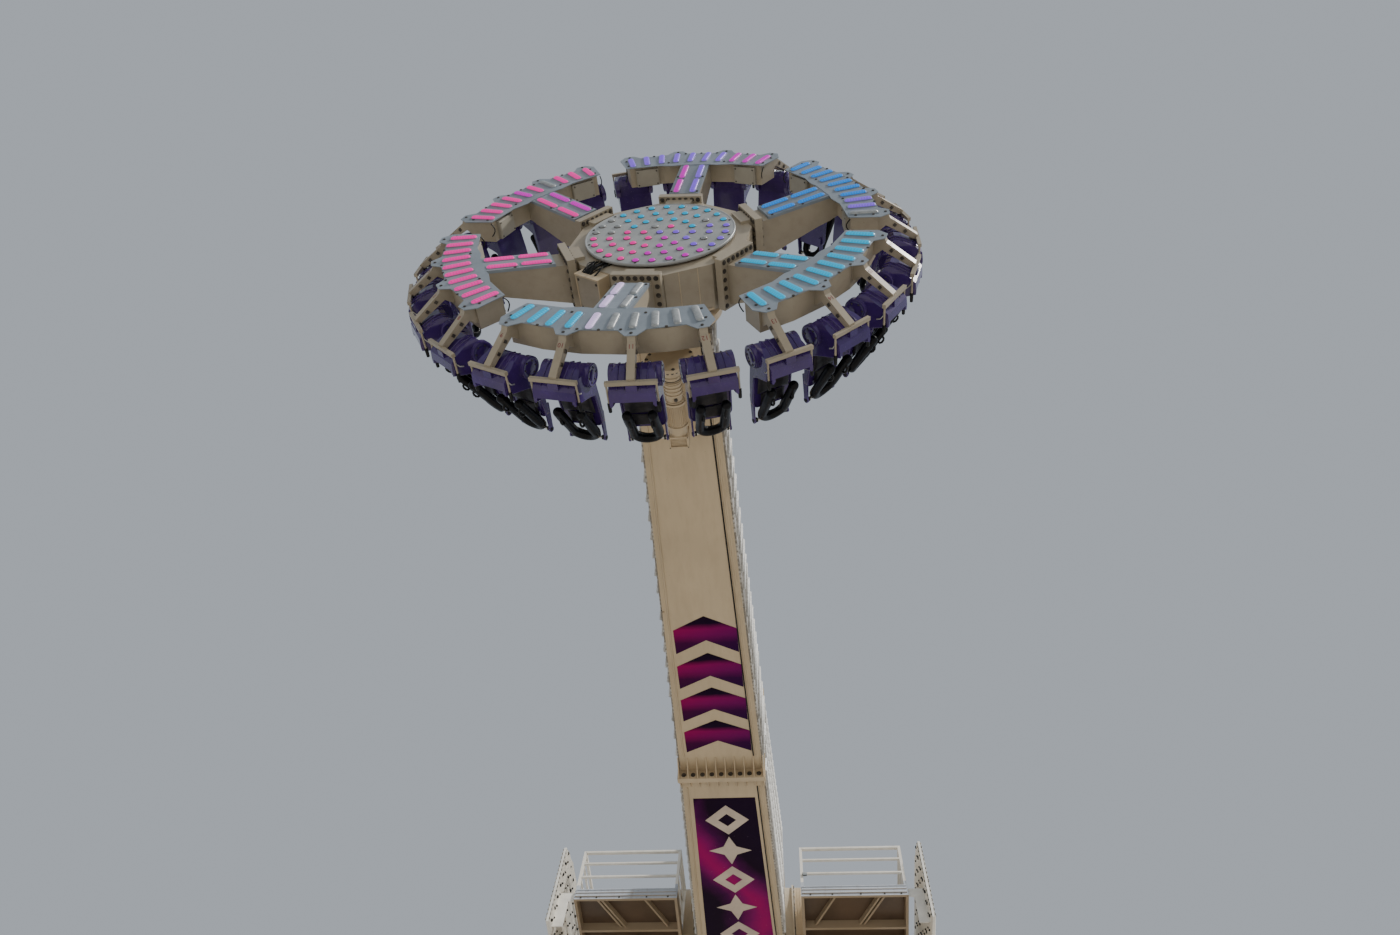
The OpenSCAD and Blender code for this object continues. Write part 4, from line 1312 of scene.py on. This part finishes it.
def add_motor_details():
    """Fins, bands, bolts, cowl louvres, terminal box and lead of the ring's gear motor."""
    shape = Shape()
    place = ARM @ Matrix.Translation((0, MOTOR_Y, BELL_Z))
    for angle in turns(30):
        fin = turned(angle, place)
        shape.box(fin, (-0.003, 0.003), (MOTOR_R - 0.004, MOTOR_R + 0.014), (MOTOR_Z + 0.04, MOTOR_Z + 0.36))
    for x, y in circle(1, 14):
        shape.bolt(place, (BELL_BOLT_R*x, BELL_BOLT_R*y, 0), (0, 0, -1), 0.017, 1)
        neck = (NECK_BOLT_R*x, NECK_BOLT_R*y, GEAR_Z - 0.085)
        shape.bolt(place, neck, (x, y, 0.25), 0.014, 1, (0, 0, 1))
    for z in (GEAR_Z + 0.004, GEAR_Z + 0.085, MOTOR_Z - 0.03):
        collar = [(-0.002, 0), (0.02, 0.003), (0.02, 0.018), (-0.002, 0.021)]
        shape.turned_profile(place, [(GEAR_R + r, z + h) for r, h in collar], 32, 0)
    for radius, z in ((GEAR_R, GEAR_Z + 0.06), (MOTOR_R, MOTOR_Z + 0.385)):
        seal = [(-0.002, 0), (0.003, 0.002), (0.003, 0.012), (-0.002, 0.014)]
        shape.turned_profile(place, [(radius + r, z + h) for r, h in seal], 32, 2)
    plug = frame_at(place, (0.03, GEAR_R, MOTOR_Z - 0.075), (0.25, 1, 0), (0, 0, 1))
    shape.turned_profile(plug, PLUG_PROFILE, 6, 1, False)
    shape.box(place, (-MOTOR_R - 0.045, -0.09), (-0.05, 0.07), (MOTOR_Z + 0.13, MOTOR_Z + 0.29), 0)
    for i in range(5):
        z = COWL_Z + 0.045 + i*0.024
        shape.box(place, (-0.1, 0.1), (COWL_HALF - 0.031, COWL_HALF - 0.022), (z, z + 0.009), 0)
    for x in SIDES:
        for z in (COWL_Z + 0.012, COWL_Z + COWL_L - 0.012):
            shape.bolt(place, (x*(COWL_HALF - 0.012), COWL_HALF, z), (0, 1, 0), 0.006, 1)
    lead = [(-0.16, -0.03, MOTOR_Z + 0.14), (-0.17, -0.04, MOTOR_Z + 0.02), (-0.18, -0.12, MOTOR_Z - 0.12),
            (-0.16, -0.24, MOTOR_Z - 0.26)]
    shape.tube(place, lead, 0.011, 8, 2)
    looks = [arm_paint, bolt_steel, black_rubber]
    soften(shape.piece("motor_details", "arm", looks, "drive_cream"), 0.0015, 1)


# Towers

HEAD_IN = 1.335
HEAD_OUT = 3.6
BALCONY_Y = 2.35
FLOOR_Z = AXLE_H - 1.11
WALL_X = HEAD_OUT + 0.36
WALL_T = 0.05
WALL_TOP = AXLE_H + 0.16
WALL_BOTTOM = WALL_TOP - 2.3
WALL_HALF = 2.6
WALL_NOTCH = (0.85, 0.26)
PLEAT = 0.12
PLEAT_DEPTH = 0.03
SOCKET_Y = 0.25
SOCKET_PITCH = (0.40, 0.155)
BIG_SOCKET_R = 0.034
SMALL_SOCKET_R = 0.022
SOCKET_H = 0.036


def wall_reach(z):
    """Half the length of a light wall at height z."""
    above = max(0.0, z - (WALL_TOP - WALL_NOTCH[1]))
    return WALL_HALF - WALL_NOTCH[0]*above/WALL_NOTCH[1]


def add_light_walls():
    """Pleated sheets on both faces of the light walls, with rows of dark lamp sockets on the pleats."""
    for side, name in ((-1, "left"), (1, "right")):
        shape = Shape()
        rows = int((WALL_TOP - WALL_BOTTOM)/(PLEAT/2))
        for face, x in ((-1, WALL_X), (1, WALL_X + WALL_T)):
            verts = []
            for i in range(rows + 1):
                z = lerp(WALL_BOTTOM + 0.006, WALL_TOP - 0.006, i/rows)
                out = side*(x + face*(PLEAT_DEPTH if i % 2 else 0.002))
                reach = wall_reach(z) - 0.004
                verts += [(out, -reach, z), (out, reach, z)]
            faces = [(2*i, 2*i + 1, 2*i + 3, 2*i + 2) for i in range(rows)]
            shape.add(WORLD, verts, faces, 0)
            for row in range(1, int((WALL_TOP - WALL_BOTTOM)/SOCKET_PITCH[1])):
                z = WALL_BOTTOM + row*SOCKET_PITCH[1]
                first = wall_reach(z) - SOCKET_Y + 0.1*(row % 2)
                for column in range(int(2*first/SOCKET_PITCH[0])):
                    at = (side*(x + face*PLEAT_DEPTH/2), column*SOCKET_PITCH[0] - first, z)
                    r = BIG_SOCKET_R if row % 2 and column % 2 == 0 else SMALL_SOCKET_R
                    socket = [(r, 0), (r, SOCKET_H - 0.012), (0.6*r, SOCKET_H - 0.002), (0, SOCKET_H)]
                    shape.turned_profile(frame_at(WORLD, at, (side*face, 0, 0)), socket, 8, 1)
        shape.piece(f"light_wall_{name}", "towers", [white_sheet, black_rubber], "white_sheet")


RAIL_T = 0.06
MID_RAIL_T = 0.044
RAIL_H = 1.15
SLEEVE_T = 0.007
RAILS = ((RAIL_H - RAIL_T/2, RAIL_T), (RAIL_H/3 + MID_RAIL_T/2, MID_RAIL_T),
         (RAIL_H*2/3 + MID_RAIL_T/2, MID_RAIL_T))
SLEEVE = ((-1, -0.6), (-0.6, -1), (0.6, -1), (1, -0.6), (1, 0.6), (0.6, 1), (-0.6, 1), (-1, 0.6))


def add_rail_sleeves():
    """Coated sleeves with rounded corners over the rails of both balconies."""
    shape = Shape()
    x0 = HEAD_IN + 0.035
    x1 = HEAD_OUT - 0.035
    for side in SIDES:
        for face in SIDES:
            y = face*(BALCONY_Y - 0.035)
            for rise, thick in RAILS:
                r = thick/2 + SLEEVE_T
                place = frame_at(WORLD, (side*x0, y, FLOOR_Z + rise), (side, 0, 0), (0, 1, 0))
                shape.prism(place, [(r*a, r*b) for a, b in SLEEVE], 0.02, x1 - x0 - 0.02)
    shape.piece("rail_sleeves", "towers", [rail_paint], "pale_paint")


# Rings of bolts about the axle, as place along X, radius of the ring, count and size
HEAD_BOLTS = ((1.15, 0.84, 24, 0.02), (2.98, 0.52, 12, 0.024))
FASCIA_BOLT_X = (HEAD_IN + 0.2, 2.0, 2.6, 3.1, HEAD_OUT - 0.15)
LIP_DROPS = (-0.004, 0.075, 0.164)
LIP_HALF = 0.012


def add_tower_details():
    """Toe boards of the balconies, and the bolts of fascias and tower heads."""
    bolts = Shape()
    plates = Shape()
    for side in SIDES:
        for face in SIDES:
            for x in FASCIA_BOLT_X:
                bolts.bolt(WORLD, (side*x, face*BALCONY_Y, FLOOR_Z - 0.20), (0, face, 0), 0.014)
            across = sorted((side*(HEAD_IN + 0.02), side*(HEAD_OUT - 0.02)))
            plates.box(WORLD, across, sorted((face*(BALCONY_Y - 0.002), face*(BALCONY_Y + 0.008))),
                       (FLOOR_Z - 0.16, FLOOR_Z + 0.012))
            lip = sorted((face*BALCONY_Y, face*(BALCONY_Y + 0.022)))
            for drop in LIP_DROPS:
                z = FLOOR_Z - drop
                plates.box(WORLD, across, lip, (z - LIP_HALF, z + LIP_HALF))
        for x, ring_r, count, radius in HEAD_BOLTS:
            for y, z in circle(ring_r, count):
                bolts.bolt(WORLD, (side*x, y, AXLE_H + z), (side, 0, 0), radius)
    soften(plates.piece("toe_boards", "towers", [balcony_paint], "pale_paint"), 0.003, 1)
    bolts.piece("tower_bolts", "towers", [bolt_steel], "drum_steel")


# Case, lens and bracket: half width, front and back, half height, material
LAMP_BOXES = (
    (0.05, -0.045, -0.015, 0.04, 0),
    (0.04, -0.052, -0.044, 0.03, 1),
    (0.015, -0.02, 0.015, 0.015, 0),
)


def add_work_lamp():
    """Small lamp on the right balcony's inner post."""
    shape = Shape()
    place = Matrix.Translation((HEAD_IN + 0.10, -BALCONY_Y + 0.02, FLOOR_Z + 0.35))
    for x, y0, y1, z, mat in LAMP_BOXES:
        shape.box(place, (-x, x), (y0, y1), (-z, z), mat)
    soften(shape.piece("work_lamp", "towers", [drive_paint, lenses["unlit"]], "drive_paint"), 0.003, 2)


FOOT_AT = (5.4, 7.3)
FOOT_HALF = 0.4
FOOT_Z = (0.478, 0.5)
ANCHOR_IN = 0.34


def add_feet():
    """Foot plates with anchor bolts where the legs meet the base."""
    shape = Shape()
    for sx in SIDES:
        for sy in SIDES:
            x = sx*FOOT_AT[0]
            y = sy*FOOT_AT[1]
            shape.box(WORLD, (x - FOOT_HALF, x + FOOT_HALF), (y - FOOT_HALF, y + FOOT_HALF), FOOT_Z, 0)
            for dx in SIDES:
                for dy in SIDES:
                    at = (x + dx*ANCHOR_IN, y + dy*ANCHOR_IN, FOOT_Z[1])
                    shape.bolt(WORLD, at, (0, 0, 1), 0.028, 1)
    soften(shape.piece("foot_plates", "towers", [base_paint, bolt_steel], "base_paint"), 0.004, 1)


dress_nodes()
add_camera()
add_light()
add_floor()
add_light_bars()
add_disc_lamps()
add_disc_rim()
add_ring_bolts()
add_beam_covers()
add_hub_details()
add_seat_trim()
add_seat_pads()
add_collars()
add_seat_numbers()
add_chevrons()
add_banner()
add_arm_bolts()
add_arm_edges()
add_light_net()
add_motor_details()
add_light_walls()
add_rail_sleeves()
add_tower_details()
add_work_lamp()
add_feet()
